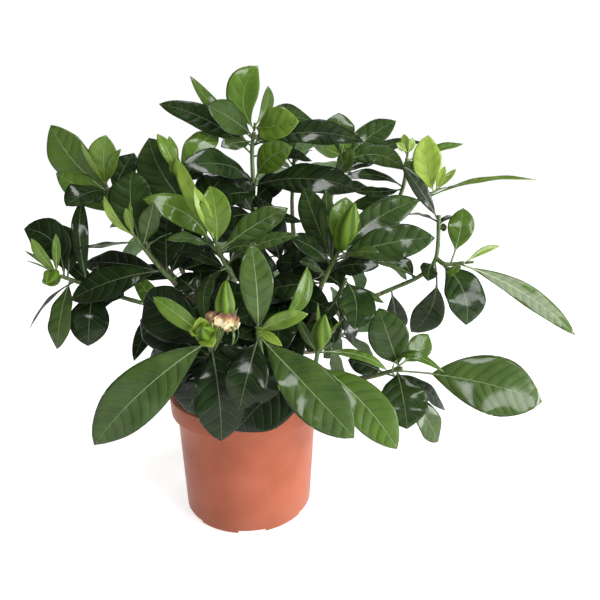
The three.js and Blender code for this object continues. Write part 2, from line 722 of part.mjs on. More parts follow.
// The outer and inner wall of the pot, as a closed profile of radius and height
function potProfile() {
  const heel = Array.from({ length: 3 }, (_, step) => {
    const turn = (step / 2) * (Math.PI / 2);
    const radius = wallRadius(HEEL_RADIUS) - HEEL_RADIUS * (1 - Math.sin(turn));
    return [radius, HEEL_RADIUS * (1 - Math.cos(turn))];
  });
  const ringInner = wallRadius(HEEL_RADIUS) - HEEL_RADIUS - FOOT_RING;
  return [
    [0, 0],
    [CENTRE_DISC, 0],
    [CENTRE_DISC + CHANNEL_SLOPE, BASE_RISE],
    [ringInner - CHANNEL_SLOPE, BASE_RISE],
    [ringInner, 0],
    ...heel,
    [SHOULDER_RADIUS, COLLAR_FOOT],
    [RIM_RADIUS - COLLAR_ROUND, COLLAR_FOOT + COLLAR_ROUND / 2],
    [RIM_RADIUS - RIM_ROUND, COLLAR_FOOT + 1.5 * COLLAR_ROUND],
    [RIM_RADIUS, POT_HEIGHT - 2 * RIM_ROUND],
    [RIM_RADIUS - RIM_ROUND, POT_HEIGHT],
    [RIM_RADIUS - RIM_ROUND - WALL, POT_HEIGHT],
    [RIM_RADIUS - RIM_ROUND - 2 * WALL, COLLAR_FOOT + 2 * WALL],
    [SHOULDER_RADIUS - WALL, COLLAR_FOOT - WALL],
    [FOOT_RADIUS - WALL, BASE_RISE + WALL + FLOOR_ROUND],
    [FOOT_RADIUS - WALL - FLOOR_ROUND, BASE_RISE + WALL],
    [0, BASE_RISE + WALL],
    [0, 0],
  ].map(([radius, height]) => new THREE.Vector2(radius, height));
}

function upright(geometry) {
  return geometry.rotateX(Math.PI / 2);
}

function potSolid() {
  let pot = solid(upright(new THREE.LatheGeometry(potProfile(), POT_SIDES)));
  const channel = (CENTRE_DISC + FOOT_RADIUS - FOOT_RING - HEEL_RADIUS) / 2;
  for (let hole = 0; hole < DRAIN_HOLES; hole += 1) {
    const drill = upright(new THREE.CylinderGeometry(DRAIN_RADIUS, DRAIN_RADIUS, COLLAR_HEIGHT, DRAIN_SIDES));
    const turn = (hole / DRAIN_HOLES) * 2 * Math.PI;
    drill.translate(channel * Math.cos(turn), channel * Math.sin(turn), 0);
    pot = pot.subtract(solid(drill));
  }
  for (let notch = 0; notch < FOOT_NOTCHES; notch += 1) {
    const cutter = new THREE.BoxGeometry(NOTCH_DEPTH, NOTCH_WIDTH, 2 * NOTCH_HEIGHT);
    cutter.translate(FOOT_RADIUS, 0, 0);
    cutter.rotateZ(NOTCH_TURN + (notch / FOOT_NOTCHES) * 2 * Math.PI);
    pot = pot.subtract(solid(cutter));
  }
  return pot;
}

function soilSolid(trunks) {
  const floor = BASE_RISE + WALL + GAP;
  const top = POT_HEIGHT - SOIL_DEPTH;
  const foot = FOOT_RADIUS - WALL - 2 * GAP;
  const shoulder = SHOULDER_RADIUS - WALL - 3 * GAP;
  const profile = [
    [0, floor],
    [foot - FLOOR_ROUND - GAP, floor],
    [foot - GAP, floor + FLOOR_ROUND],
    [shoulder, COLLAR_FOOT - WALL],
    ...SOIL_RINGS.map(([out, up]) => [shoulder * out, top + SOIL_HUMP * up]),
    [0, floor],
  ].map(([radius, height]) => new THREE.Vector2(radius, height));
  const lump = upright(new THREE.LatheGeometry(profile, SOIL_SIDES));
  const position = lump.attributes.position;
  for (let point = 0; point < position.count; point += 1) {
    const [x, y, z] = [position.getX(point), position.getY(point), position.getZ(point)];
    const key = Math.round(x * 3) * 7 + Math.round(y * 3) * 131;
    if (z > top + 1) position.setZ(point, z + SOIL_CRUMB * (chance(key) - 0.5));
  }
  let soil = solid(lump);
  Object.values(trunks).forEach(({ path }) => {
    soil = soil.subtract(holeSolid(path));
  });
  return soil;
}

// A plain hole for a woody stem, a gap wider than it all round and under its foot
function holeSolid(path) {
  const below = path[0].clone().addScaledVector(path[1].clone().sub(path[0]).normalize(), -1);
  const places = [below, ...path.slice(1)];
  return stemSolid(places, TRUNK_FOOT + 2 * GAP, TRUNK_TOP + 2 * GAP, { sides: WOOD_SIDES });
}

// Withered petals in a ring round the foot of the spent flower's green cone
function petalsSolid(foot, cone) {
  const way = cone.clone().sub(foot).normalize();
  const centre = between(foot, cone, RING_PLACE);
  const side = levelled(new THREE.Vector3(1, 0, 0), way);
  const other = new THREE.Vector3().crossVectors(way, side);
  const inner = CONE_FOOT + RING_GAP;
  const collar = [
    [inner, -RING_HALF],
    [inner + RING_WALL, -RING_HALF],
    [inner + RING_WALL + RING_FLARE, RING_HALF],
    [inner + RING_FLARE, RING_HALF],
    [inner, -RING_HALF],
  ].map(([radius, height]) => new THREE.Vector2(radius, height));
  const ring = upright(new THREE.LatheGeometry(collar, 2 * BUD_SIDES));
  ring.applyMatrix4(new THREE.Matrix4().makeBasis(side, other, way).setPosition(centre));
  const petals = [solid(ring)];
  for (let petal = 0; petal < PETALS; petal += 1) {
    const luck = chance(petal + 3);
    const turn = (petal / PETALS) * 2 * Math.PI;
    const out = side.clone().multiplyScalar(Math.cos(turn)).addScaledVector(other, Math.sin(turn));
    const drop = PETAL_DROOPS[petal % 2] * (PETAL_DROP[0] + PETAL_DROP[1] * luck);
    const base = centre.clone().addScaledVector(out, inner + RING_WALL / 2);
    petals.push(bladeSolid({
      base,
      tip: base.clone().addScaledVector(out, PETAL_LENGTH + PETAL_PLAY * luck).addScaledVector(way, drop),
      width: PETAL_WIDTH + 1 - 2 * luck,
      lookUp: way.clone().addScaledVector(out, PETAL_LEAN),
      arch: PETAL_ARCH,
      fold: PETAL_FOLD,
      petiole: 0,
    }));
  }
  return fuse(petals);
}

function coneSolid() {
  const foot = seen(CONE_PLACES.foot);
  const tip = seen(CONE_PLACES.tip);
  const route = [...CONE_PLACES.stalk.map(seen), foot, between(foot, tip, STALK_END)];
  const stalk = stemSolid(route, STALK_RADIUS, CONE_FOOT);
  const cone = budSolid(between(foot, tip, CONE_START), tip, CONE_WIDTH);
  return stalk.add(cone);
}

const plant = new THREE.Group();

function addNode(name, shape, skin) {
  const mesh = shape.getMesh();
  const geometry = new THREE.BufferGeometry();
  geometry.setAttribute('position', new THREE.BufferAttribute(new Float32Array(mesh.vertProperties), 3));
  geometry.setIndex(new THREE.BufferAttribute(new Uint32Array(mesh.triVerts), 1));
  geometry.computeVertexNormals();
  const node = new THREE.Mesh(geometry, new THREE.MeshStandardMaterial({ ...skin, metalness: 0 }));
  node.name = name;
  plant.add(node);
}

const wood = Object.fromEntries(Object.entries(TRUNKS).map(([name, places]) => {
  const path = places.map(seen);
  return [name, { path, pieces: [stemSolid(path, TRUNK_FOOT, TRUNK_TOP, { sides: WOOD_SIDES })] }];
}));
const greens = {};
Object.entries(SHOOTS).forEach(([name, shoot]) => {
  const { green, young } = shootParts(shoot);
  const home = shoot.joins ?? name;
  greens[home] = [...(greens[home] ?? []), ...green];
  if (shoot.wood) wood[shoot.wood[0]].pieces.push(limbSolid(wood[shoot.wood[0]].path, shoot));
  if (young.length > 0) addNode(`${name}_tip`, fuse(young), TIP_SKIN);
});
greens.front_left.push(coneSolid());
Object.entries(BACK_SHOOTS).forEach(([name, shoot], number) => {
  greens[name] = backSolid(shoot, number);
  wood[shoot.wood[0]].pieces.push(limbSolid(wood[shoot.wood[0]].path, shoot));
});
Object.entries(greens).forEach(([name, pieces]) => addNode(`${name}_leaves`, fuse(pieces), LEAF_SKIN));
Object.entries(wood).forEach(([name, { pieces }]) => addNode(name, fuse(pieces), BARK));
addNode('withered_petals', petalsSolid(seen(CONE_PLACES.foot), seen(CONE_PLACES.tip)), WITHERED);
addNode('soil', soilSolid(wood), PEAT);
addNode('pot', potSolid(), TERRACOTTA);

export default plant;
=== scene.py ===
import math

import bpy
from mathutils import Matrix, Vector


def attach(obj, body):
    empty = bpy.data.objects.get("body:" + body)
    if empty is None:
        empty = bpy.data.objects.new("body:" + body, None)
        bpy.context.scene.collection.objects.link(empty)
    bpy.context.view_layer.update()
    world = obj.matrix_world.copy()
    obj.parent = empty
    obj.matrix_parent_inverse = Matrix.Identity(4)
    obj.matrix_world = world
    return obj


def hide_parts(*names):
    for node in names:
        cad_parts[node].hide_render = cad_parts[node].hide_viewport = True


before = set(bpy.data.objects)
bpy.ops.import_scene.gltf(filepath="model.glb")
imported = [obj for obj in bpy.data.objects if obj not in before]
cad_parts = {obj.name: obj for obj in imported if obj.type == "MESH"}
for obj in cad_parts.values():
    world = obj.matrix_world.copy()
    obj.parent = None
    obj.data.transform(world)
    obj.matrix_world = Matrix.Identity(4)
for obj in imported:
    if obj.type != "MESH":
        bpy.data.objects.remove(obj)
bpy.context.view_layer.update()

MM = 0.001
TURN = 2 * math.pi

# The camera's eye in millimetres, its tilt and lens. A place on the plant is [across, down, near]:
# where the eye sees it in a view 600 wide and high, and how far it stands in front of the pot's axis.
EYE = Vector((46, -427, 296))
EYE_DOWN = math.radians(14.7)
LENS = 32
FILM = 36
VIEW = 600
VIEW_REACH = VIEW * LENS / FILM

# Pot and soil, in millimetres
RIM_RADIUS = 65
POT_HEIGHT = 107
COLLAR_FOOT = 90
SHOULDER_RADIUS = 59.3
FOOT_RADIUS = 54.8
HEEL_RADIUS = 4
WALL = 1.6
BASE_RISE = 3.5
CENTRE_DISC = 22
FOOT_RING = 6
DRAIN_HOLES = 8
DRAIN_RADIUS = 3.2
FOOT_NOTCHES = 6
NOTCH_WIDTH = 22.5
NOTCH_HEIGHT = 4
NOTCH_DEPTH = 24
NOTCH_TURN = -1.44
SOIL_DEPTH = 13
SOIL_HUMP = 3
GAP = 0.3

# Wood, stems and leaves: sizes in millimetres, angles in degrees, the stalk as a share of the leaf, and
# the young leaves' places as shares of the stub
TRUNK_FOOT = 4.6
TRUNK_TOP = 3.2
LIMB_START = 2.5
STEM_START = 1.8
STEM_END = 1.5
TIP_STUB = 7
STUB_RADIUS = 1
PETIOLE_SHARE = 0.07
FOLD = 16
YOUNG_FOLD = 30
LEAF_STEP = 2.5
ROOT_OUT = 0.9
ROOT_HUG = 1.8
STEM_ROOM = 0.8
YOUNG_LOW = 0.2
YOUNG_SPREAD = 0.7

# Back shoots: leaves in a whorl, and for each whorl from the lowest its leaves' rise in degrees and
# how far it is below the stem's end. A leaf's turn varies by a share of a full turn and its rise by
# degrees. Width and arch are shares of its length, and its length and lightness vary by luck.
WHORL = 3
WHORLS = [(-12, 28), (-4, 12), (24, 7), (54, 2)]
BACK_TURN_SPREAD = 1 / 12
BACK_RISE_SPREAD = 16
BACK_SLIMNESS = 0.42
BACK_ARCH = 0.1
WHORL_SHORTENS = 0.1
LENGTH_START = 0.88
LENGTH_SPREAD = 0.24
TONE_START = 0.06
TONE_SPREAD = 0.2

# The spent flower: a stalk, a green cone, a ring of withered petals and the dry lobes of its calyx
STALK_PLACES = [(212, 352, 93), (219, 338, 102)]
STALK_RADIUS = 1.6
CONE_FOOT_PLACE = (224, 321, 107)
CONE_TIP_PLACE = (226, 281, 104)
CONE_RADIUS = 2.2
CONE_WIDTH = 13.5
PETALS = 8
PETAL_WIDTH = 10
PETAL_LENGTH = 9.5
PETAL_ROOM = 1.1
PETAL_PLACE = 0.28
PETAL_LEAN = Vector((-3, 0, 0))
SEPALS = 6
SEPAL_WIDTH = 3
SEPAL_LENGTH = 9

# How fine the turned and bent shapes are
POT_SIDES = 120
SOIL_SIDES = 72
SOIL_RINGS = 30
DRAIN_SIDES = 20
SPINDLE_RINGS = 14
SPINDLE_FACETS = 6
SHARP_ANGLE = math.radians(40)

# Shoots, one by one. wood: the woody stem and the place on it that the limb leaves from. limb: places
# the limb passes. stem: places of the green stem. A leaf is [place on the stem, tip across, tip down,
# tip near, width, face, turn, arch, lightness, sideways bend, petiole share], the last four in
# hundredths. leaves: full-grown ones that the solids have too. more: those deep in the bush, which are
# in this script only. young: leaves round the tip. A bud is [place, tip across, tip down, tip near,
# width].
SHOOTS = {
    "far_left": dict(
        wood=("trunk_left", 4), limb=[[188, 312, 28], [165, 307, 28]],
        stem=[[142, 303, 30], [118, 296, 34], [84, 284, 38], [60, 276, 42]], bud=[3, 46, 283, 74, 13],
        leaves=[[3, 24, 229, 28, 29, 64, -10, 6, 5, 24], [3, 60, 225, 24, 19, 68, 10, 6, 8, 10],
            [2, 82, 200, 20, 13, 70, 20, 6, 10, -5], [2, 124, 297, 50, 22, 44, 0, 10, 2],
            [2, 88, 346, 55, 29, 70, 15, 12, 5], [3, 57, 349, 62, 21, 66, -20, 12, 30, -8],
            [3, 30, 328, 44, 8, 30, -40, 6, 10, 6]],
        more=[[2, 66, 262, 24, 12, 44, 0, 6, 3], [2, 98, 266, 56, 14, 50, 0, 8, 4],
            [1, 90, 300, 22, 20, 60, 0, 8, 2]],
        young=[[3, 31, 238, 48, 10, 75, -10, 5, 80], [3, 56, 234, 40, 7, 70, 30, 5, 60],
            [3, 27, 261, 50, 4, 10, 0, 5, 50], [3, 25, 251, 36, 4, 10, 0, 5, 50]]),
    "upper_left": dict(
        wood=("trunk_left", 4), limb=[[186, 292, 14], [162, 264, 6]],
        stem=[[140, 240, 5], [124, 212, 8], [108, 188, 12]],
        leaves=[[2, 66, 206, 48, 27, 66, -10, 10, 8], [2, 134, 153, -8, 22, 55, 0, 5, 12],
            [2, 51, 125, 6, 32, 74, -15, 5, 45, -6], [1, 56, 173, 12, 23, 70, 0, 6, 50]],
        more=[[1, 132, 196, 10, 22, 60, 0, 10, 4]],
        young=[[2, 106, 135, 24, 24, 80, 10, 5, 70, -4], [2, 81, 143, 34, 7, 75, -20, 4, 85, 3],
            [2, 121, 149, 36, 12, 70, -20, 6, 75, 6]]),
    "left": dict(
        wood=("trunk_left", 4), limb=[[190, 306, 24]], stem=[[172, 280, 40], [160, 268, 44], [136, 238, 52]],
        leaves=[[1, 71, 300, 62, 28, 50, 0, 10, 5], [1, 84, 264, 20, 22, 44, 0, 8, 2],
            [2, 75, 248, 46, 13, 10, 0, -1, 20], [2, 133, 171, 24, 34, 80, 0, 6, 15, -5],
            [2, 154, 203, 56, 15, 70, 20, 6, 25], [2, 172, 233, 60, 12, 10, 0, 5, 15],
            [1, 168, 213, 10, 30, 66, 0, 8, 3]],
        more=[[1, 197, 224, 16, 24, 60, 0, 8, 3], [0, 204, 263, 52, 6, 20, 0, 8, 50],
            [0, 140, 269, 28, 16, 44, 0, 6, 2]],
        young=[[2, 104, 196, 56, 8, 70, -30, 4, 90, -10], [2, 126, 208, 62, 7, 80, 0, 4, 75],
            [2, 130, 202, 50, 4, 70, 0, 4, 60]]),
    "upper_mid_left": dict(
        wood=("trunk_mid", 4), limb=[[240, 270, 4]],
        stem=[[222, 258, 20], [208, 240, 26], [190, 208, 30], [178, 178, 30]], bud=[3, 176, 160, 44, 10],
        leaves=[[2, 149, 138, 10, 35, 75, -10, 6, 20, -6], [3, 217, 133, -12, 22, 65, 10, 10, 55, -4],
            [1, 143, 199, 50, 22, 60, -10, 18, 62, 10]],
        more=[[3, 201, 168, 8, 15, 60, 0, 5, 2], [2, 226, 176, 14, 28, 60, 0, 8, 5],
            [1, 232, 214, 30, 24, 60, 0, 8, 5]],
        young=[[3, 157, 134, 36, 11, 74, 10, 5, 72, 5], [3, 169, 136, 26, 9, 60, 50, 4, 60]]),
    "mid_left": dict(
        wood=("trunk_left", 4), limb=[[224, 298, 38]], stem=[[232, 276, 44], [224, 262, 52], [217, 246, 60]],
        leaves=[[2, 167, 240, 84, 18, 24, 0, 10, 25], [2, 288, 208, 46, 23, 50, 0, 6, 30],
            [1, 299, 235, 80, 15, 40, 0, 8, 35], [1, 206, 320, 100, 15, 60, -30, 14, 20, 6],
            [1, 178, 252, 44, 20, 20, 0, 10, 4]],
        more=[[2, 258, 246, 70, 12, 40, 0, 10, 15], [1, 178, 262, 30, 18, 44, 0, 8, 3]],
        young=[[2, 210, 186, 62, 24, 64, 0, 5, 78, 6], [2, 176, 158, 50, 13, 78, -15, 3, 85],
            [2, 194, 187, 66, 11, 80, 20, 3, 90]]),
    "top": dict(
        wood=("trunk_mid", 5), stem=[[254, 214, -14], [253, 180, -12], [252, 150, -14], [254, 132, -14]],
        leaves=[[1, 181, 167, 40, 29, 52, 0, 15, 10], [1, 361, 191, 26, 30, 52, 0, 10, 6, -2],
            [2, 159, 104, 0, 22, 55, 0, 10, 12, 3], [3, 207, 105, 18, 25, 66, 0, 4, 27],
            [3, 216, 121, -50, 14, -24, 0, 5, 12], [3, 221, 147, 6, 16, 50, 0, 4, 22],
            [3, 364, 142, 10, 24, 52, 0, 10, 8, -3], [3, 316, 124, -40, 27, 60, 0, 15, 18, -14],
            [3, 190, 76, -26, 12, 60, 0, -10, 55], [1, 292, 147, 36, 22, 78, 0, 6, 66, -10, 30],
            [1, 198, 203, 24, 26, 56, 0, 5, 5], [1, 270, 207, 6, 17, 60, 0, 6, 0]],
        more=[[2, 312, 161, -34, 16, 40, 0, 10, 12], [0, 302, 222, -16, 9, 50, 0, 4, 2],
            [0, 216, 222, 0, 20, 60, 0, 8, 3], [0, 226, 168, -6, 26, 56, 0, 8, 4],
            [1, 284, 178, -10, 22, 60, 0, 8, 5]],
        young=[[3, 258, 66, -16, 30, 80, -10, 6, 64, -20], [3, 299, 121, 12, 30, 78, 15, 8, 76, 6],
            [3, 268, 86, -30, 11, 74, 20, 4, 40, 10]]),
    "top_right": dict(
        wood=("trunk_back", 4), limb=[[314, 236, -46]],
        stem=[[330, 205, -34], [334, 180, -34], [340, 158, -36]],
        leaves=[[2, 339, 113, -60, 27, 74, 0, 6, 30], [2, 396, 121, -44, 23, 70, 0, 4, 22, -4],
            [2, 404, 170, -14, 20, 60, 0, 6, 28, -20], [2, 422, 142, -70, 16, 40, 0, 6, 12, -4],
            [2, 379, 160, -40, 13, 34, 0, 4, 16]],
        more=[[2, 354, 150, -22, 15, 60, 0, 6, 40], [1, 372, 190, -50, 12, 40, 0, 4, 12]],
        young=[[1, 312, 144, 2, 14, 80, -20, 5, 45], [2, 346, 134, -34, 14, 80, 20, 5, 55]]),
    "right_top": dict(
        wood=("trunk_back", 4), limb=[[340, 246, -46], [376, 230, -32]],
        stem=[[404, 214, -20], [412, 204, -16], [432, 193, -10]],
        leaves=[[2, 404, 162, -6, 20, 66, 10, 6, 40], [2, 536, 180, 0, 10, 22, 0, 9, 80],
            [2, 461, 186, 30, 10, 20, 0, 6, 12], [1, 352, 204, -54, 18, 60, 0, 5, 30]],
        young=[[2, 428, 135, 0, 25, 78, -10, 10, 98, -8], [2, 445, 166, -6, 7, 80, 0, 4, 95],
            [2, 456, 169, -10, 6, 50, 0, 4, 90]]),
    "behind_right_top": dict(
        wood=("trunk_back", 4), limb=[[336, 250, -60], [374, 230, -52]],
        stem=[[396, 205, -40], [404, 184, -36], [407, 158, -34]],
        leaves=[[1, 342, 178, -20, 14, 40, 0, 13, 5], [1, 353, 191, -12, 13, 40, 0, 2, 5, -8],
            [2, 463, 144, -60, 10, 40, 0, 6, 50]],
        young=[[2, 404, 134, -34, 9, 80, -20, 3, 95], [2, 413, 138, -34, 8, 80, 20, 3, 92],
            [2, 396, 143, -30, 7, 60, -40, 3, 88]]),
    "right": dict(
        wood=("trunk_right", 4), limb=[[346, 308, 22]],
        stem=[[380, 294, 18], [394, 288, 19], [420, 276, 20], [436, 258, 22], [439, 215, 18]],
        leaves=[[4, 402, 165, 34, 11, 66, -10, 6, 2], [4, 400, 216, -14, 12, 0, 0, 8, 10],
            [4, 458, 217, -10, 10, 0, 0, 8, 12], [4, 447, 227, 20, 7, 60, 0, 2, 30],
            [3, 411, 332, 4, 25, 72, -10, 6, 13, -14, 28], [3, 428, 281, 40, 15, 76, 0, 6, 2, 10],
            [1, 396, 336, -10, 20, 72, 0, 8, 3]],
        more=[[2, 374, 262, 24, 8, 24, 0, 5, 30], [2, 398, 256, 0, 12, 50, 0, 6, 12]]),
    "right_side": dict(
        joins="right", stem=[[436, 258, 22], [444, 264, 26], [454, 264, 28], [464, 263, 30]],
        leaves=[[2, 463, 208, 20, 20, 76, -15, 8, 55, 4, 25], [3, 575, 335, 34, 17, 66, 0, 1, 42, -6],
            [3, 452, 276, 44, 12, -30, 0, 6, 60], [1, 466, 325, 46, 33, 70, 10, 12, 12, -10]],
        young=[[3, 500, 246, 24, 6, 70, 0, 0, 85, -8]]),
    "centre_right": dict(
        wood=("trunk_right", 4), stem=[[322, 284, 46], [330, 268, 52], [338, 252, 58]],
        bud=[2, 355, 203, 80, 15],
        leaves=[[2, 419, 200, 40, 23, 68, 0, 5, 22, -7], [2, 435, 238, 64, 26, 72, 0, 6, 21, -3],
            [2, 379, 252, 96, 14, 40, 0, 6, 36], [2, 304, 187, 34, 22, 70, -20, 6, 15],
            [2, 290, 237, 76, 19, 50, 0, 8, 8], [1, 379, 266, 70, 22, 40, 0, 10, 2],
            [2, 326, 190, 42, 13, 80, -10, 6, 28], [2, 336, 212, 54, 11, 80, 10, 4, 15]],
        more=[[1, 276, 262, 26, 24, 60, 0, 10, 2], [0, 268, 290, 40, 24, 60, 0, 10, 3],
            [1, 300, 262, 70, 14, 40, 0, 8, 20]],
        young=[[2, 346, 197, 56, 24, 82, 0, 6, 55]]),
    "front_left": dict(
        wood=("trunk_left", 2), limb=[[217, 372, 52]],
        stem=[[214, 366, 84], [212, 354, 92], [208, 340, 100]], bud=[2, 203, 327, 122, 14],
        leaves=[[2, 94, 445, 118, 35, 72, 14, 6, 28, 5, 3], [2, 221, 441, 112, 33, 76, 0, 12, 6, -5, 3],
            [2, 146, 293, 66, 37, 72, -10, 10, 3], [1, 140, 320, 50, 28, 66, -10, 8, 2],
            [1, 150, 358, 64, 25, 70, 0, 10, 2], [1, 133, 271, 34, 15, 50, 0, 8, 55, -4],
            [1, 184, 392, 84, 24, 70, 0, 10, 5]],
        more=[[0, 172, 372, 62, 22, 66, 0, 10, 2], [0, 166, 382, 78, 30, 70, 0, 6, 3],
            [1, 203, 404, 90, 30, 74, 0, 10, 3], [1, 236, 398, 100, 30, 74, 0, 8, 3],
            [1, 188, 412, 84, 34, 70, 0, 10, 3]],
        young=[[2, 153, 297, 104, 14, 70, -10, 8, 70, 3], [2, 192, 336, 118, 15, 64, -20, 14, 90],
            [2, 200, 317, 113, 15, 74, 0, 12, 95], [2, 215, 322, 112, 14, 74, 20, 12, 88],
            [2, 213, 347, 120, 14, 60, 0, 12, 90]]),
    "front_mid": dict(
        wood=("trunk_mid", 2), limb=[[258, 374, 36]], stem=[[262, 360, 84], [260, 346, 94], [258, 333, 104]],
        leaves=[[2, 251, 243, 100, 22, 80, 8, 7, 33, 2], [2, 354, 438, 128, 34, 74, 10, 8, 30],
            [2, 239, 410, 120, 28, 74, 0, 12, 4, 0, 3]],
        more=[[1, 262, 404, 104, 28, 74, 0, 8, 3], [1, 206, 374, 96, 27, 72, 0, 8, 3]],
        young=[[2, 308, 314, 118, 12, 70, 20, 8, 82, -5], [2, 282, 346, 128, 7, 60, 0, 8, 95],
            [2, 307, 267, 92, 12, 76, 8, 4, 62, 20, 30]]),
    "front_right": dict(
        wood=("trunk_right", 2), limb=[[304, 376, 44]],
        stem=[[314, 372, 66], [316, 362, 72], [318, 350, 78]], bud=[2, 325, 315, 92, 14],
        leaves=[[2, 387, 370, 74, 9, 36, 0, 17, 50], [2, 298, 318, 76, 8, 60, -30, 5, 40],
            [1, 397, 449, 96, 31, 74, 10, 8, 50, -5], [1, 235, 431, 100, 42, 74, 0, 10, 4, 6]],
        young=[[2, 318, 303, 78, 3, 60, 0, 2, 70], [2, 343, 319, 80, 3, 40, 0, 4, 60]]),
    "lower_right": dict(
        wood=("trunk_right", 2), limb=[[330, 380, 34]],
        stem=[[374, 376, 44], [388, 372, 50], [402, 368, 56]],
        leaves=[[2, 379, 308, 58, 30, 72, -10, 10, 22], [2, 407, 429, 84, 36, 74, 0, 12, 16],
            [2, 542, 402, 72, 44, 66, 0, 8, 34, -4, 24], [2, 438, 442, 46, 23, 66, 20, 8, 30, 0, 30],
            [1, 445, 410, 40, 18, 40, 40, 10, 5], [2, 428, 334, 36, 19, 74, 0, 6, 45, 6, 30],
            [1, 348, 360, 50, 19, 50, 0, 10, 3], [2, 444, 372, 84, 9, 30, 0, 36, 55]]),
    "inner_right": dict(
        wood=("trunk_right", 4), stem=[[328, 312, 36], [338, 296, 36], [346, 278, 36]],
        leaves=[[2, 354, 329, 66, 30, 70, 10, 10, 12, -8], [1, 353, 343, 40, 17, 60, 30, 10, 4],
            [2, 384, 303, 34, 8, 40, 10, 4, 30], [2, 300, 262, 8, 26, 50, 0, 12, 3]],
        more=[[1, 322, 320, 54, 13, 60, 0, 12, 3], [0, 334, 344, 50, 14, 60, 0, 12, 2],
            [2, 330, 262, 10, 20, 50, 0, 8, 3], [0, 308, 352, 44, 20, 66, 0, 10, 2]]),
    "inner_left": dict(
        wood=("trunk_left", 4), stem=[[205, 316, 32], [201, 303, 36], [199, 290, 40]],
        leaves=[[2, 206, 236, -14, 20, 60, 0, 8, 4], [1, 176, 320, 50, 28, 66, 0, 10, 2],
            [1, 248, 290, 60, 26, 70, 0, 10, 2], [1, 134, 361, 60, 17, 66, -10, 6, 2, 20]],
        more=[[2, 178, 277, 34, 22, 50, 0, 8, 3], [2, 226, 268, 20, 18, 50, 0, 8, 3],
            [0, 230, 352, 44, 24, 66, 0, 10, 1], [1, 224, 318, 60, 18, 60, 0, 12, 2],
            [0, 206, 372, 60, 32, 70, 0, 8, 2]]),
    "inner_mid": dict(
        wood=("trunk_mid", 2), limb=[[268, 340, 0]], stem=[[276, 320, 6], [280, 290, 10], [282, 262, 14]],
        leaves=[[2, 262, 200, 6, 26, 70, 0, 8, 2], [2, 312, 244, 50, 28, 60, 0, 10, 3],
            [1, 330, 310, 60, 26, 60, 0, 12, 2], [1, 278, 356, 66, 30, 74, 0, 10, 4],
            [2, 236, 256, 40, 24, 50, 0, 10, 3], [1, 270, 304, 50, 25, 60, 0, 12, 4]],
        more=[[0, 238, 338, 50, 24, 60, 0, 10, 2], [1, 300, 290, 44, 20, 60, 0, 10, 3],
            [0, 246, 368, 42, 28, 70, 0, 10, 1], [0, 300, 362, 34, 26, 70, 0, 10, 2],
            [1, 322, 322, 26, 24, 66, 0, 10, 1], [0, 234, 364, 40, 36, 70, 0, 8, 2],
            [1, 236, 320, 46, 28, 66, 0, 10, 3], [1, 262, 350, 40, 34, 70, 0, 10, 2],
            [1, 232, 236, 10, 30, 60, 0, 10, 3]]),
}

# Woody stems: the foot is under the soil, and the last place is where the highest limbs leave
TRUNKS = {
    "trunk_left": [[232, 430, 10], [229, 404, 12], [222, 372, 18], [214, 344, 24], [208, 326, 28]],
    "trunk_mid": [[252, 428, -4], [253, 402, -6], [256, 360, -10], [257, 320, -12], [256, 280, -14],
                  [255, 240, -14]],
    "trunk_right": [[272, 430, 10], [276, 404, 12], [290, 370, 18], [304, 340, 24], [314, 318, 28]],
    "trunk_back": [[258, 420, -28], [262, 396, -32], [272, 350, -44], [284, 310, -54], [296, 270, -58]],
}

# Shoots at the back: where the stem ends and how far the leaves reach
BACK_SHOOTS = {
    "back_left": {"wood": ("trunk_left", 4), "stem": [[172, 250, -30], [152, 214, -52]], "reach": 46},
    "back_top": {"wood": ("trunk_back", 4), "stem": [[292, 200, -80], [294, 158, -92]], "reach": 52},
    "back_mid": {"wood": ("trunk_back", 3), "stem": [[258, 280, -84], [246, 246, -104]], "reach": 56},
    "back_right": {"wood": ("trunk_back", 4), "stem": [[346, 260, -84], [366, 236, -100]], "reach": 52},
    "back_low_left": {"wood": ("trunk_back", 2), "stem": [[226, 350, -70], [206, 326, -92]], "reach": 54},
    "back_low_right": {"wood": ("trunk_back", 2), "stem": [[320, 350, -76], [350, 330, -98]], "reach": 54},
}


def seen(place):
    """The point in millimetres that the eye sees at a place."""
    across, down, near = place
    right = (across - VIEW / 2) / VIEW_REACH
    up = (VIEW / 2 - down) / VIEW_REACH
    ray = Vector((
        right,
        math.cos(EYE_DOWN) + up * math.sin(EYE_DOWN),
        up * math.cos(EYE_DOWN) - math.sin(EYE_DOWN),
    ))
    return EYE + ray * ((-near - EYE.y) / ray.y)


def chance(number):
    """A steady random number for each whole number."""
    wave = math.sin(number * 12.9898) * 43758.5453
    return wave - math.floor(wave)


def levelled(direction, way):
    """A direction turned square to a way."""
    return (direction - way * direction.dot(way)).normalized()


def outward(way, turn):
    """The direction square to a way at an angle round it."""
    side = levelled(Vector((1, 0, 0)), way)
    return side * math.cos(turn) + way.cross(side) * math.sin(turn)


def look_of(face, turn):
    """Which way a leaf's upper face looks: face 0 is up, 90 is to the front, and turn swings it right."""
    tilt, swing = math.radians(face), math.radians(turn)
    return Vector((math.sin(tilt) * math.sin(swing), -math.sin(tilt) * math.cos(swing), math.cos(tilt)))


def blade(base, tip, width, look_up, arch=0.0, bend=0.0, petiole=PETIOLE_SHARE, fold=FOLD, tone=0.1,
          wave=1.0):
    """One leaf as the numbers that the leaf blade tree reads."""
    chord = tip - base
    length = chord.length
    along = chord / length
    up = levelled(look_up, along)
    side = along.cross(up)
    return {
        "base": base * MM,
        "chord": chord * MM,
        "bow": (up * arch + side * bend) * length * MM,
        "side": side,
        "half_width": width / 2 * MM,
        "petiole": petiole,
        "fold": math.radians(fold),
        "tone": tone,
        "wave": wave,
    }


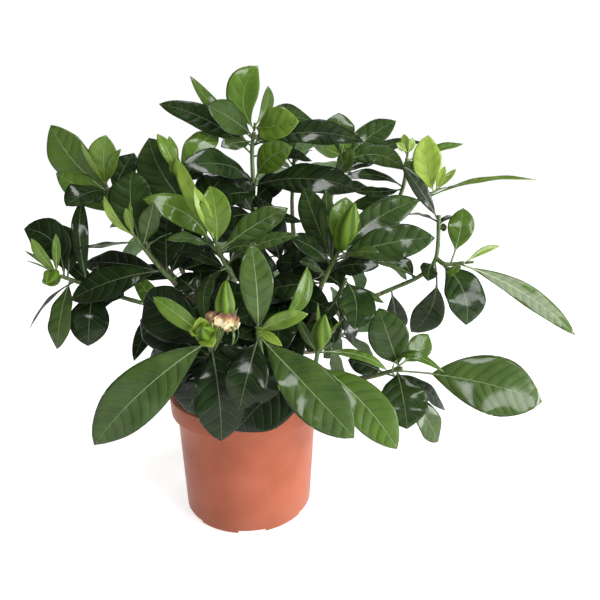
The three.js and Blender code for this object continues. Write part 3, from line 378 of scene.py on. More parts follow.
def shoot_leaf(root, row, fold):
    """The blade of a leaf's row. Its bend and its petiole may be left out."""
    across, down, near, width, face, turn = row[1:7]
    shares = [share / 100 for share in row[7:]]
    arch, tone, bend, petiole = shares + [0.0, PETIOLE_SHARE][len(shares) - 2:]
    tip = seen((across, down, near))
    return blade(root, tip, width, look_of(face, turn), arch, bend, petiole, fold, tone)


def root_of(places, order, row):
    """Leaves at the same place on a stem start one below another, on the side away from their face."""
    node, across, down, near, _, face, turn = row[:7]
    start = max(node - 1, 0)
    way = (places[start + 1] - places[start]).normalized()
    room = (places[start + 1] - places[start]).length * STEM_ROOM
    axis = places[node] + way * (-min(LEAF_STEP * order, room) if node > 0 else 0)
    aim = (seen((across, down, near)) - axis).normalized()
    out = levelled(aim - look_of(face, turn), way)
    return axis + out * (ROOT_OUT + (ROOT_HUG - ROOT_OUT) * abs(aim.dot(way)))


def young_root(stub, way, share, row):
    """Young leaves start one above another on the stub at a shoot's tip."""
    axis = stub[0].lerp(stub[1], YOUNG_LOW + YOUNG_SPREAD * share)
    out = (seen(row[1:4]) - axis).normalized()
    return axis + (out - way * out.dot(way)) * STUB_RADIUS / 2


def curved(places, end_way=None, steps=6):
    """Points of a smooth line through the places, closer together than the places are."""
    first = places[0] * 2 - places[1]
    last = places[-1] * 2 - places[-2]
    if end_way is not None:
        last = places[-1] + end_way * (places[-1] - places[-2]).length
    knots = [first, *places, last]
    line = []
    for i in range(1, len(knots) - 2):
        a, b, c, d = knots[i - 1:i + 3]
        for step in range(steps):
            t = step / steps
            line.append(0.5 * (2 * b + (c - a) * t + (2 * a - 5 * b + 4 * c - d) * t * t
                               + (3 * b - a - 3 * c + d) * t ** 3))
    return [*line, places[-1].copy()]


def tapered(line, start, end):
    """A line with its radius at each point, in millimetres."""
    last = len(line) - 1
    return [(point, start + (end - start) * step / last) for step, point in enumerate(line)]


def back_blades(shoot, number):
    """Leaves grown by rule, each whorl turned from the one under it. The lowest whorl is in this script
    only, so it draws its luck apart from the others."""
    places = [seen(place) for place in shoot["stem"]]
    way = (places[1] - places[0]).normalized()
    leaves = []
    for leaf in range(WHORL * len(WHORLS)):
        whorl = leaf // WHORL - 1
        luck = chance(number * 10 + (leaf + 50 if whorl < 0 else leaf - WHORL))
        turn = ((leaf % WHORL) / WHORL + whorl / (2 * WHORL) + (luck - 0.5) * BACK_TURN_SPREAD) * TURN
        steepness, below = WHORLS[whorl + 1]
        rise = math.radians(steepness + BACK_RISE_SPREAD * (luck - 0.5))
        length = shoot["reach"] * (1 - WHORL_SHORTENS * abs(whorl)) * (LENGTH_START + LENGTH_SPREAD * luck)
        out = outward(way, turn)
        base = places[1] - way * below + out * ROOT_OUT
        aim = out * math.cos(rise) + way * math.sin(rise)
        leaves.append(blade(base, base + aim * length, length * BACK_SLIMNESS, way, BACK_ARCH,
                            tone=TONE_START + TONE_SPREAD * luck))
    return leaves


def linear(code):
    """An sRGB hex colour as the linear values that a shader takes."""
    values = [int(code[i:i + 2], 16) / 255 for i in (1, 3, 5)]
    return (*[v / 12.92 if v <= 0.04045 else ((v + 0.055) / 1.055) ** 2.4 for v in values], 1)


class Term:
    """A value in a node tree. A sign on it, or a math operation called as its method, adds a node."""

    def __init__(self, socket):
        self.socket = socket

    def __getattr__(self, operation):
        return lambda *others: worked(operation.upper(), self, *others)

    def __add__(self, other):
        return worked("ADD", self, other)

    def __sub__(self, other):
        return worked("SUBTRACT", self, other)

    def __rsub__(self, other):
        return worked("SUBTRACT", other, self)

    def __mul__(self, other):
        return worked("MULTIPLY", self, other)

    def __truediv__(self, other):
        return worked("DIVIDE", self, other)

    def __rtruediv__(self, other):
        return worked("DIVIDE", other, self)

    def held(self):
        """The value kept from 0 to 1."""
        return self.maximum(0).minimum(1)


def worked(operation, *values):
    """The result of a math operation. It works on vectors where one of its values is a vector."""
    terms = [value.socket for value in values if isinstance(value, Term)]
    vector = any(socket.type == "VECTOR" for socket in terms)
    return add(terms[0].id_data, "ShaderNodeVectorMath" if vector else "ShaderNodeMath",
               dict(enumerate(values)), 1 if vector and operation in ("DOT_PRODUCT", "LENGTH") else 0,
               operation=operation)


def add(tree, kind, links=None, out=0, stops=(), **settings):
    """Adds a node with its settings, its links or values by input, and the (place, hex colour) stops of
    its colour ramp. Returns one output of it or, for several names, a list of them."""
    node = tree.nodes.new(kind)
    for name, value in settings.items():
        setattr(node, name, value)
    for name, value in (links or {}).items():
        if isinstance(value, Term):
            tree.links.new(value.socket, node.inputs[name])
        else:
            node.inputs[name].default_value = value
    for _ in stops[2:]:
        node.color_ramp.elements.new(1.0)
    for number, (place, colour) in enumerate(stops):
        node.color_ramp.elements[number].position = place
        node.color_ramp.elements[number].color = linear(colour)
    if isinstance(out, tuple):
        return [Term(node.outputs[name]) for name in out]
    return None if out is None else Term(node.outputs[out])


def placed(name, data):
    """A new object in the scene."""
    thing = bpy.data.objects.new(name, data)
    bpy.context.scene.collection.objects.link(thing)
    return thing


def new_mesh(name, points, edges=(), faces=(), **facts):
    """A mesh of points in metres. Facts are numbers or vectors of the points, which a node tree can read."""
    mesh = bpy.data.meshes.new(name)
    mesh.from_pydata(points, edges, faces)
    for fact, values in facts.items():
        if isinstance(values[0], Vector):
            data = mesh.attributes.new(fact, "FLOAT_VECTOR", "POINT").data
            data.foreach_set("vector", [part for value in values for part in value])
        else:
            mesh.attributes.new(fact, "FLOAT", "POINT").data.foreach_set("value", values)
    return mesh


def grow_tree(name, inputs):
    """A geometry tree with named inputs: label to (kind of socket, first value)."""
    tree = bpy.data.node_groups.new(name, "GeometryNodeTree")
    for label, (kind, value) in inputs.items():
        socket = tree.interface.new_socket(name=label, in_out="INPUT", socket_type="NodeSocket" + kind)
        if value is not None:
            socket.default_value = value
    tree.interface.new_socket(name="Mesh", in_out="OUTPUT", socket_type="NodeSocketGeometry")
    return tree, dict(zip(inputs, add(tree, "NodeGroupInput", out=tuple(inputs))))


def finish_tree(tree, shape, *steps):
    """Passes a shape through nodes, each a kind with its other inputs, to the tree's output."""
    for kind, links in steps:
        shape = add(tree, kind, {"Geometry": shape, **links})
    add(tree, "NodeGroupOutput", {"Mesh": shape}, out=None)
    return tree


def grown(name, mesh, tree, values):
    """The plain mesh that a geometry tree makes of a mesh, with the tree's inputs set by identifier."""
    seedling = placed(name + "_seedling", mesh)
    growth = seedling.modifiers.new("growth", "NODES")
    growth.node_group = tree
    for item in tree.interface.items_tree:
        if item.in_out == "INPUT" and item.name in values:
            growth[item.identifier] = values[item.name]
    result = bpy.data.meshes.new_from_object(seedling.evaluated_get(bpy.context.evaluated_depsgraph_get()))
    bpy.data.objects.remove(seedling)
    return result


# Blade outline: width rises from the stalk as share ** RISE and falls to the tip as (1 - share) ** FALL.
# The stalk thins by a share to the tip and flattens into the rib. The fold starts where the blade is
# some millimetres wide and opens towards the tip. The margin has so many waves, in radians, with more by
# luck, and the blade twists about a place on its midrib.
RISE = 1.05
FALL = 0.85
PEAK = (RISE / (RISE + FALL)) ** RISE * (FALL / (RISE + FALL)) ** FALL
STALK_THINS = 0.8
STALK_FLATTENS = 0.75
FLATTENS_SOON = 6
FOLD_WIDTH = 1.5
FOLD_START = 1.1
FOLD_OPENS = 0.35
WAVES = 11
WAVES_BY_LUCK = 7
WAVE_SHIFT = 1.1
WAVE_START_BY_LUCK = 20
TWIST_PLACE = 0.3


def blade_tree():
    """Turns each point into a leaf blade: a closed skin folded along its midrib, bowed and waved."""
    tree, given = grow_tree("leaf blades", {
        "Leaves": ("Geometry", None),
        "Rows": ("Int", 22),
        "Ring points": ("Int", 14),
        "Blade thickness": ("Float", 0.5 * MM),
        "Stalk radius": ("Float", 0.75 * MM),
        "Margin wave": ("Float", 0.1),
        "Cupping": ("Float", 0.12),
        "Twist": ("Float", 0.3),
        "Seed": ("Int", 5),
        "Upper face": ("Material", None),
        "Under face": ("Material", None),
    })
    luck = add(tree, "FunctionNodeRandomValue", {"Seed": given["Seed"]}, out=1)
    points = add(tree, "GeometryNodeStoreNamedAttribute",
                 {"Geometry": given["Leaves"], "Name": "luck", "Value": luck})
    rows = given["Rows"]
    sheet, ring = add(tree, "GeometryNodeMeshGrid", {"Vertices X": given["Ring points"] + 1,
                                                     "Vertices Y": rows + 1}, ("Mesh", "UV Map"))
    sheet = add(tree, "GeometryNodeStoreNamedAttribute", {"Geometry": sheet, "Name": "ring", "Value": ring},
                data_type="FLOAT2")
    leaves = add(tree, "GeometryNodeInstanceOnPoints", {"Points": points, "Instance": sheet})
    leaves = add(tree, "GeometryNodeRealizeInstances", {"Geometry": leaves})
    base, chord, bow, side, ring = [
        add(tree, "GeometryNodeInputNamedAttribute", {"Name": name}, data_type="FLOAT_VECTOR")
        for name in ("base", "chord", "bow", "side", "ring")]
    half_width, petiole, fold, wave, luck = [
        add(tree, "GeometryNodeInputNamedAttribute", {"Name": name})
        for name in ("half_width", "petiole", "fold", "wave", "luck")]

    # u runs from the stalk to the tip, edge from -1 to 1 across the upper face and back across the
    # lower one, and lift is 1 above the midrib and -1 below it
    ring_x, ring_y = add(tree, "ShaderNodeSeparateXYZ", {0: ring}, ("X", "Y"))
    row = ring_y * rows
    u = ((row - 1) / (rows - 2)).held()
    left = 1 - u
    around = ring_x * TURN
    edge = around.cosine() * -1
    lift = around.sine()
    off_rib = edge.absolute()
    off_rib_2 = off_rib * off_rib
    # How wide the blade is here, and how thick
    share = ((u - petiole) / (1 - petiole)).held()
    wide = share.power(RISE) * (1 - share).power(FALL) / PEAK * half_width
    stalk = given["Stalk radius"] * (share * -STALK_THINS + 1)
    half = wide.maximum(stalk)
    flattened = (share * FLATTENS_SOON).minimum(1) * -STALK_FLATTENS + 1
    thick = (given["Blade thickness"] * 0.5).maximum(stalk * flattened)
    # The line of the midrib, and the blade's own directions on it
    middle = base + (chord * u + bow * (u * left * 4))
    way = (chord + bow * ((left - u) * 4)).normalize()
    flat_across = (side - way * side.dot_product(way)).normalize()
    twist = (luck - 0.5) * given["Twist"] * (u - TWIST_PLACE)
    across = flat_across * twist.cosine() + flat_across.cross_product(way) * twist.sine()
    # Fold along the midrib, rounded halves and the waved margin
    opened = fold * (u * -FOLD_OPENS + FOLD_START)
    start = edge * WAVE_SHIFT + luck * WAVE_START_BY_LUCK
    ripple = (u * (luck * WAVES_BY_LUCK + WAVES) + start).sine() * off_rib_2
    raised = off_rib * opened.sine() - off_rib_2 * given["Cupping"] + ripple * (given["Margin wave"] * wave)
    height = lift * thick + raised * half * (wide / (wide + FOLD_WIDTH * MM))
    move = across * (edge * half * opened.cosine()) + across.cross_product(way) * height
    open_end = row.greater_than(0.5) * row.less_than(rows - 0.5)
    leaves = add(tree, "GeometryNodeSetPosition", {"Geometry": leaves, "Position": middle + move * open_end})
    # What the leaf materials read: a chart of the blade, its half width and its length in millimetres
    chart = add(tree, "ShaderNodeCombineXYZ", {"X": edge * 0.5 + 0.5, "Y": u})
    for name, kind, domain, value in (("UVMap", "FLOAT2", "CORNER", chart),
                                      ("half", "FLOAT", "POINT", half / MM),
                                      ("reach", "FLOAT", "POINT", chord.length() / MM)):
        leaves = add(tree, "GeometryNodeStoreNamedAttribute",
                     {"Geometry": leaves, "Name": name, "Value": value}, data_type=kind, domain=domain)
    return finish_tree(
        tree, leaves,
        ("GeometryNodeMergeByDistance", {"Distance": 0.01 * MM}),
        ("GeometryNodeSetShadeSmooth", {}),
        ("GeometryNodeRealizeInstances", {}),
        ("GeometryNodeSetMaterial", {"Material": given["Under face"]}),
        ("GeometryNodeSetMaterial", {"Selection": ring_x.less_than(0.5), "Material": given["Upper face"]}))


def stem_tree():
    """Turns lines with a girth at each point into stems with a rough or smooth skin."""
    tree, given = grow_tree("stems", {
        "Lines": ("Geometry", None),
        "Point spacing": ("Float", 2.5 * MM),
        "Sides": ("Int", 12),
        "Skin roughness": ("Float", 0.1 * MM),
        "Grain size": ("Float", 6 * MM),
        "Joint swelling": ("Float", 0.12),
        "Joint spacing": ("Float", 14 * MM),
        "Skin": ("Material", None),
    })
    line = add(tree, "GeometryNodeMeshToCurve", {"Mesh": given["Lines"]})
    line = add(tree, "GeometryNodeResampleCurve", {"Curve": line, "Length": given["Point spacing"]},
               mode="LENGTH")
    way_along = add(tree, "GeometryNodeSplineParameter", out="Length")
    knot = (way_along / given["Joint spacing"]).pingpong(0.5).power(4) * 16
    girth = add(tree, "GeometryNodeInputNamedAttribute", {"Name": "girth"})
    ring = add(tree, "GeometryNodeCurvePrimitiveCircle", {"Resolution": given["Sides"], "Radius": 1})
    stems = add(tree, "GeometryNodeCurveToMesh", {
        "Curve": line, "Profile Curve": ring, "Scale": girth * (knot * given["Joint swelling"] + 1),
        "Fill Caps": True})
    place = add(tree, "GeometryNodeInputPosition")
    grain = add(tree, "ShaderNodeTexNoise", {"Vector": place, "Scale": 1 / given["Grain size"], "Detail": 2})
    push = add(tree, "GeometryNodeInputNormal") * ((grain - 0.5) * given["Skin roughness"])
    return finish_tree(
        tree, stems,
        ("GeometryNodeSetPosition", {"Offset": push}),
        ("GeometryNodeSetShadeSmooth", {}),
        ("GeometryNodeRealizeInstances", {}),
        ("GeometryNodeSetMaterial", {"Material": given["Skin"]}))


def crumb_tree():
    """Scatters crumbs of peat over a soil surface."""
    tree, given = grow_tree("peat crumbs", {
        "Soil": ("Geometry", None),
        "Crumbs to a square metre": ("Float", 90000.0),
        "Smallest": ("Float", 0.4 * MM),
        "Largest": ("Float", 1.9 * MM),
        "Seed": ("Int", 11),
        "Peat": ("Material", None),
    })
    seed = {"Seed": given["Seed"]}
    spread = add(tree, "GeometryNodeInputNamedAttribute", {"Name": "open_top"})
    points = add(tree, "GeometryNodeDistributePointsOnFaces", {
        "Mesh": given["Soil"], "Density": spread * given["Crumbs to a square metre"], **seed})
    size = add(tree, "FunctionNodeRandomValue", {2: given["Smallest"], 3: given["Largest"], **seed}, out=1)
    turn = add(tree, "FunctionNodeRandomValue", {0: (0, 0, 0), 1: (6.3, 6.3, 6.3), **seed},
               data_type="FLOAT_VECTOR")
    lump = add(tree, "GeometryNodeMeshIcoSphere", {"Radius": 1, "Subdivisions": 2})
    place = add(tree, "GeometryNodeInputPosition")
    noise = add(tree, "ShaderNodeTexNoise", {"Vector": place, "Scale": 1.7}, out="Color")
    push = add(tree, "ShaderNodeVectorMath", {0: noise, 1: (0.5, 0.5, 0.5)}, operation="SUBTRACT")
    lump = add(tree, "GeometryNodeSetPosition", {"Geometry": lump, "Offset": push})
    crumbs = add(tree, "GeometryNodeInstanceOnPoints", {
        "Points": points, "Instance": lump, "Rotation": turn, "Scale": size})
    return finish_tree(tree, crumbs, ("GeometryNodeRealizeInstances", {}),
                       ("GeometryNodeSetMaterial", {"Material": given["Peat"]}))


def new_material(name):
    """A material with nothing in it but the object's coordinates, its node tree, and those coordinates."""
    material = bpy.data.materials.new(name)
    material.use_nodes = True
    tree = material.node_tree
    tree.nodes.clear()
    return material, tree, add(tree, "ShaderNodeTexCoord", out="Object")


def finish_material(material, settings):
    """Ends a material in one shader with these settings and links."""
    surface = add(material.node_tree, "ShaderNodeBsdfPrincipled", settings)
    add(material.node_tree, "ShaderNodeOutputMaterial", {"Surface": surface}, out=None)
    return material


# Side veins of a leaf, in millimetres: they leave the midrib this far apart, lean forward by a share of
# the distance from it, and curve towards the tip. Those of one side start between those of the other.
# They fade at the margin, and on leaves less than a few millimetres wide. The midrib thins to the tip,
# and shows more on a light leaf. Blotches change the green and the gloss.
VEIN_SPACING = 8
VEIN_LEAN = 0.42
VEIN_CURVE = 0.022
VEIN_STAGGER = 0.45
VEIN_WOBBLE = 1.6
VEIN_SHARPNESS = 14
VEIN_CUT = 6.1
MARGIN_FADE = 3
NARROW_FADE = 0.35
NARROW_CUT = 0.7
RIB_WIDTH = 0.72
RIB_TAPER = 0.55
RIB_SHARPNESS = 2.2
RIB_LEAST = 0.3
RIB_BY_TONE = 1.1
BLOTCH_TONE = 0.32
BLOTCH_GLOSS = 0.3
PILLOW_TONE = 0.04


def leaf_material(name, greens, rib_green, rib_show, vein_show, settings, relief, rib_relief, grain):
    """A leaf face: greens by the leaf's own tone, with its midrib, side veins and the quilting between."""
    material, tree, place = new_material(name)
    chart = add(tree, "ShaderNodeUVMap", uv_map="UVMap")
    x, y = add(tree, "ShaderNodeSeparateXYZ", {0: chart}, ("X", "Y"))
    blotch = add(tree, "ShaderNodeTexNoise", {"Vector": place, "Scale": 1 / (14 * MM), "Detail": 2})
    fine = add(tree, "ShaderNodeTexNoise", {"Vector": place, "Scale": 1 / (1.3 * MM), "Detail": 3})
    half, reach, tone = [add(tree, "ShaderNodeAttribute", out="Fac", attribute_name=fact)
                         for fact in ("half", "reach", "tone")]
    offset = x * 2 - 1
    off_rib = offset.absolute()
    away = off_rib * half
    along = y * reach - (away * VEIN_LEAN + away * away * VEIN_CURVE)
    count = (blotch * VEIN_WOBBLE + along) / VEIN_SPACING + offset.greater_than(0) * VEIN_STAGGER
    near_vein = (count.fract() - 0.5).absolute()
    fade = (off_rib * -MARGIN_FADE + MARGIN_FADE).minimum(1) * (half * NARROW_FADE - NARROW_CUT).held()
    vein = (near_vein * VEIN_SHARPNESS - VEIN_CUT).held() * fade
    pillow = (near_vein * near_vein * -4 + 1) * fade
    rib = ((1 - away / (y * -RIB_TAPER + RIB_WIDTH)).maximum(0) * RIB_SHARPNESS).minimum(1)
    blotch_mid = blotch - 0.5
    green = add(tree, "ShaderNodeValToRGB", {"Fac": blotch_mid * BLOTCH_TONE + tone + pillow * PILLOW_TONE},
                "Color", greens)
    shown = (rib * (tone * RIB_BY_TONE + RIB_LEAST).minimum(1) * rib_show).maximum(vein * vein_show)
    colour = add(tree, "ShaderNodeMix", {0: shown, 6: green, 7: linear(rib_green)}, 2, data_type="RGBA")
    height = fine * grain + (rib * rib_relief + pillow * relief)
    bump = add(tree, "ShaderNodeBump", {"Height": height, "Distance": MM})
    return finish_material(material, {**settings, "Base Color": colour, "Normal": bump,
                                      "Roughness": blotch_mid * BLOTCH_GLOSS + settings["Roughness"]})


def stem_material(name, pale, dark, streak, relief, roughness):
    """Stem skin: two shades in streaks along the wood and a fine lift of the surface."""
    material, tree, place = new_material(name)
    drawn = add(tree, "ShaderNodeMapping", {"Vector": place, "Scale": (1, 1, 0.22)})
    streaks = add(tree, "ShaderNodeTexNoise", {"Vector": drawn, "Scale": 1 / (streak * MM), "Detail": 4})
    colour = add(tree, "ShaderNodeValToRGB", {"Fac": streaks}, "Color", [(0.3, dark), (0.7, pale)])
    bump = add(tree, "ShaderNodeBump", {"Height": streaks, "Distance": relief * MM})
    return finish_material(material, {"Base Color": colour, "Normal": bump, "Roughness": roughness})


def bud_material():
    """Soft new growth: rolled leaves and scales, yellow-green, with painted shade and light: darker green in
    the grooves and lighter on the ridges.
    """
    material, tree, place = new_material("waxy_new_growth")
    patches = add(tree, "ShaderNodeTexNoise", {"Vector": place, "Scale": 1 / (5 * MM), "Detail": 2})
    ridge = add(tree, "ShaderNodeAttribute", out="Fac", attribute_name="ridge")
    # Painted shade and light: the green is darkest where the ridge fact is low, in the grooves, and lightest
    # on the ridges
    colour = add(tree, "ShaderNodeValToRGB", {"Fac": patches * 0.5 + ridge}, "Color",
                 [(0.2, "#30440d"), (0.6, "#425b10"), (1.0, "#587618")])
    return finish_material(material, {"Base Color": colour, "Roughness": 0.5, "Specular IOR Level": 0.2,
                                      "Coat Weight": 0.15, "Coat Roughness": 0.3})


def petal_material():
    """Withered petal: cream, gone brown at its foot and in stains at the rim, dull and crinkled."""
    material, tree, place = new_material("withered_petal")
    chart = add(tree, "ShaderNodeUVMap", uv_map="UVMap")
    y = add(tree, "ShaderNodeSeparateXYZ", {0: chart}, "Y")
    stain = add(tree, "ShaderNodeTexNoise", {"Vector": place, "Scale": 1 / (4 * MM), "Detail": 4})
    colour = add(tree, "ShaderNodeValToRGB", {"Fac": (y - 0.74).absolute() * 0.9 + stain}, "Color",
                 [(0.46, "#e9dcbb"), (0.64, "#dac592"), (0.8, "#9a6a48"), (0.95, "#6b4634")])
    crinkle = add(tree, "ShaderNodeTexNoise", {"Vector": place, "Scale": 1 / (1.2 * MM), "Detail": 3})
    bump = add(tree, "ShaderNodeBump", {"Height": crinkle, "Distance": 0.5 * MM})
    return finish_material(material, {"Base Color": colour, "Roughness": 0.75, "Normal": bump,
                                      "Sheen Weight": 0.2})


def peat_material():
    """Moist peat compost: near black in the hollows of its bump, which paints shade there, brown fibres on
    top, no gloss.
    """
    material, tree, place = new_material("moist_peat")
    clods = add(tree, "ShaderNodeTexNoise", {"Vector": place, "Scale": 1 / (3.5 * MM), "Detail": 5,
                                             "Roughness": 0.7})
    # Painted shade: the noise that lowers the bump also darkens the colour, so the hollows are painted near
    # black
    colour = add(tree, "ShaderNodeValToRGB", {"Fac": clods}, "Color",
                 [(0.3, "#1b130d"), (0.5, "#38291d"), (0.68, "#5a4430"), (0.8, "#7b6347")])
    bump = add(tree, "ShaderNodeBump", {"Height": clods, "Distance": 1.5 * MM})
    return finish_material(material, {"Base Color": colour, "Roughness": 0.95, "Normal": bump,
                                      "Specular IOR Level": 0.2})


def pot_material():
    """Moulded polypropylene in a terracotta colour: satin, faintly clouded, with grit and scuffs from use."""
    material, tree, place = new_material("moulded_polypropylene_terracotta")
    cloud = add(tree, "ShaderNodeTexNoise", {"Vector": place, "Scale": 1 / (30 * MM), "Detail": 3})
    skin = add(tree, "ShaderNodeTexNoise", {"Vector": place, "Scale": 1 / (0.9 * MM), "Detail": 2})
    drawn = add(tree, "ShaderNodeMapping", {"Vector": place, "Scale": (1, 1, 0.12),
                                            "Rotation": (0.25, 0.1, 0)})
    scuff = add(tree, "ShaderNodeTexNoise", {"Vector": drawn, "Scale": 1 / (2.2 * MM), "Detail": 5,
                                             "Roughness": 0.65})
    where = add(tree, "ShaderNodeTexNoise", {"Vector": place, "Scale": 1 / (22 * MM), "Detail": 1})
    grit, grit_size = add(tree, "ShaderNodeTexVoronoi", {"Vector": place, "Scale": 1 / (9 * MM)},
                          ("Distance", "Color"))
    height = add(tree, "ShaderNodeSeparateXYZ", {0: place}, "Z")
    # Scuffs run up the wall, in patches. Soil marks fade out 23 mm up, and only some specks of grit show.
    scuffed = (scuff * 9 - 5.9).held() * (where * 5 - 2.5).held()
    soiled = (height * (-1 / (26 * MM)) + 0.9).maximum(0) * cloud
    speck = grit.less_than(grit_size * 0.32 - 0.2)
    colour = add(tree, "ShaderNodeValToRGB", {"Fac": cloud}, "Color", [(0.3, "#98533d"), (0.7, "#a65f49")])
    for share, shade in ((scuffed * 0.4, "#e3b09c"), (soiled * 0.35, "#8d6a55"), (speck * 0.75, "#5e4032")):
        colour = add(tree, "ShaderNodeMix", {0: share, 6: colour, 7: linear(shade)}, 2, data_type="RGBA")
    bump = add(tree, "ShaderNodeBump", {"Height": skin, "Distance": 0.03 * MM})
    return finish_material(material, {
        "Base Color": colour, "Roughness": scuffed * 0.2 + 0.36, "Normal": bump, "Specular IOR Level": 0.1,
        "Subsurface Weight": 0.08, "Subsurface Radius": (4 * MM, 1.5 * MM, 0.8 * MM)})


LEAF_GREENS = [(0.0, "#0f1a0a"), (0.1, "#16270c"), (0.25, "#2e421c"), (0.45, "#455b26"),
               (0.62, "#4a671f"), (0.8, "#567121"), (1.0, "#869f3a")]
UNDER_GREENS = [(0.0, "#48623f"), (0.3, "#5f7c4d"), (0.6, "#7d9c55"), (1.0, "#a4c065")]
WAXY = {"Roughness": 0.45, "Specular IOR Level": 0.05, "Coat Weight": 0.36, "Coat Roughness": 0.12}
SOFT = {"Roughness": 0.45, "Specular IOR Level": 0.15, "Coat Weight": 0.38, "Coat Roughness": 0.13}
MATT = {"Roughness": 0.6, "Specular IOR Level": 0.25}

MATERIALS = {
    # Full-grown leaf, upper face: a thick wax skin, so light breaks into white patches between the veins
    "leaf": leaf_material("waxy_gardenia_leaf", LEAF_GREENS, "#a9b98a", 0.75, 0.08, WAXY,
                          relief=0.8, rib_relief=-0.5, grain=0.02),
    # Lower face of a leaf: paler and duller, with the ribs standing out
    "leaf_under": leaf_material("matt_leaf_underside", UNDER_GREENS, "#a3b377", 0.8, 0.5, MATT,
                                relief=-0.3, rib_relief=0.6, grain=0.04),
    # Young leaf: soft, thin and bright, with a silkier shine
    "young": leaf_material("soft_young_leaf", LEAF_GREENS, "#a3bb62", 0.6, 0.12, SOFT,
                           relief=0.35, rib_relief=-0.4, grain=0.03),
    "young_under": leaf_material("soft_leaf_underside", UNDER_GREENS, "#b7c97f", 0.7, 0.4, MATT,
                                 relief=-0.25, rib_relief=0.5, grain=0.03),
    # This year's stem: smooth green skin
    "stem": stem_material("green_stem", "#53682f", "#33461f", 3.0, 0.15, 0.45),
    # Older wood: grey-brown bark in fine cracks along the stem
    "bark": stem_material("cracked_bark", "#726a50", "#3b3425", 1.6, 0.6, 0.85),
    "bud": bud_material(),
    "petal": petal_material(),
    "peat": peat_material(),
    "pot": pot_material(),
}


def lines_mesh(name, stems):
    """Lines of points with a girth at each, for the stem tree. Each stem is a list of (place, radius)."""
    points, edges, girths = [], [], []
    for stem in stems:
        first = len(points)
        points += [tuple(place * MM) for place, radius in stem]
        girths += [radius * MM for place, radius in stem]
        edges += [(i, i + 1) for i in range(first, len(points) - 1)]
    return new_mesh(name, points, edges, girth=girths)


# Buds and the cone: their ribs, twisted by radians over the length, with grooves that are deep by a
# share of the radius, and (share of the length, share of the greatest width) along them
BUD = {"ribs": 4, "twist": 1.2, "depth": 0.22, "profile": [
    (0, 0.5), (0.12, 0.78), (0.3, 0.98), (0.45, 1.0), (0.62, 0.86), (0.8, 0.56), (0.93, 0.28), (1, 0.08)]}
CONE = {"ribs": 5, "twist": 0.4, "depth": 0.24, "profile": [
    (0, 0.5), (0.1, 0.8), (0.25, 1.0), (0.42, 0.98), (0.62, 0.78), (0.8, 0.54), (0.93, 0.36), (1, 0.16)]}
RIB_START = Vector((0.36, -0.87, 0.33))


def spindle_mesh(name, base, tip, width, ribs, twist, depth, profile):
    """A closed ribbed spindle, such as a bud, which knows how far each point is on a ridge."""
    rounds = SPINDLE_FACETS * ribs
    way = (tip - base).normalized()
    side = levelled(RIB_START, way)
    other = way.cross(side)
    points, ridges = [], []
    for ring in range(SPINDLE_RINGS + 1):
        share = ring / SPINDLE_RINGS
        place = max(i for i in range(len(profile) - 1) if profile[i][0] <= share)
        (low, first), (high, last) = profile[place:place + 2]
        radius = width / 2 * (first + (last - first) * (share - low) / (high - low))
        for step in range(rounds):
            turn = step / rounds * TURN
            ridge = 0.5 + 0.5 * math.cos(ribs * (turn + twist * share))
            reach = radius * (1 - depth * (1 - ridge))
            points.append(base.lerp(tip, share) + side * reach * math.cos(turn)
                          + other * reach * math.sin(turn))
            ridges.append(ridge)
    faces = [(r * rounds + s, r * rounds + (s + 1) % rounds, (r + 1) * rounds + (s + 1) % rounds,
              (r + 1) * rounds + s) for r in range(SPINDLE_RINGS) for s in range(rounds)]
    foot, top = len(points), SPINDLE_RINGS * rounds
    faces += [(foot, (s + 1) % rounds, s) for s in range(rounds)]
    faces += [(foot + 1, top + s, top + (s + 1) % rounds) for s in range(rounds)]
    mesh = new_mesh(name, [tuple(point * MM) for point in [*points, base, tip]], faces=faces,
                    ridge=[*ridges, 0, 1])
    mesh.materials.append(MATERIALS["bud"])
    mesh.shade_smooth()
    return mesh


def piece(name, meshes, node):
    """One piece of the plant, made of its meshes joined, which stands for its node."""
    objects = [placed(name, mesh) for mesh in meshes]
    if len(objects) > 1:
        with bpy.context.temp_override(active_object=objects[0], selected_editable_objects=objects):
            bpy.ops.object.join()
    whole = objects[0]
    whole.name = name
    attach(whole, "root")
    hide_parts(node)


BLADES = blade_tree()
STEMS = stem_tree()
CRUMBS = crumb_tree()
YOUNG_BLADES = {"Rows": 18, "Ring points": 12, "Margin wave": 0.06}
SEPAL_BLADES = {"Rows": 14, "Ring points": 10}
PETAL_BLADES = {"Rows": 14, "Ring points": 12, "Margin wave": 0.16, "Cupping": -0.1}
BARK_SKIN = {"Skin roughness": 0.5 * MM, "Grain size": 3.5 * MM, "Sides": 16, "Joint swelling": 0.08}


def grow_leaves(name, leaves, upper, under, **more):
    """Blades grown on a point for each leaf, which carries the numbers that the tree reads."""
    facts = {fact: [leaf[fact] for leaf in leaves] for fact in leaves[0]}
    points = new_mesh(name, [tuple(base) for base in facts["base"]], **facts)
    faces = {"Upper face": MATERIALS[upper], "Under face": MATERIALS[under]}
    return grown(name, points, BLADES, {**faces, **more})


def grow_stems(name, stems, skin, **more):
    """Stems grown on lines of (place, radius)."""
    return grown(name, lines_mesh(name, stems), STEMS, {"Skin": MATERIALS[skin], **more})


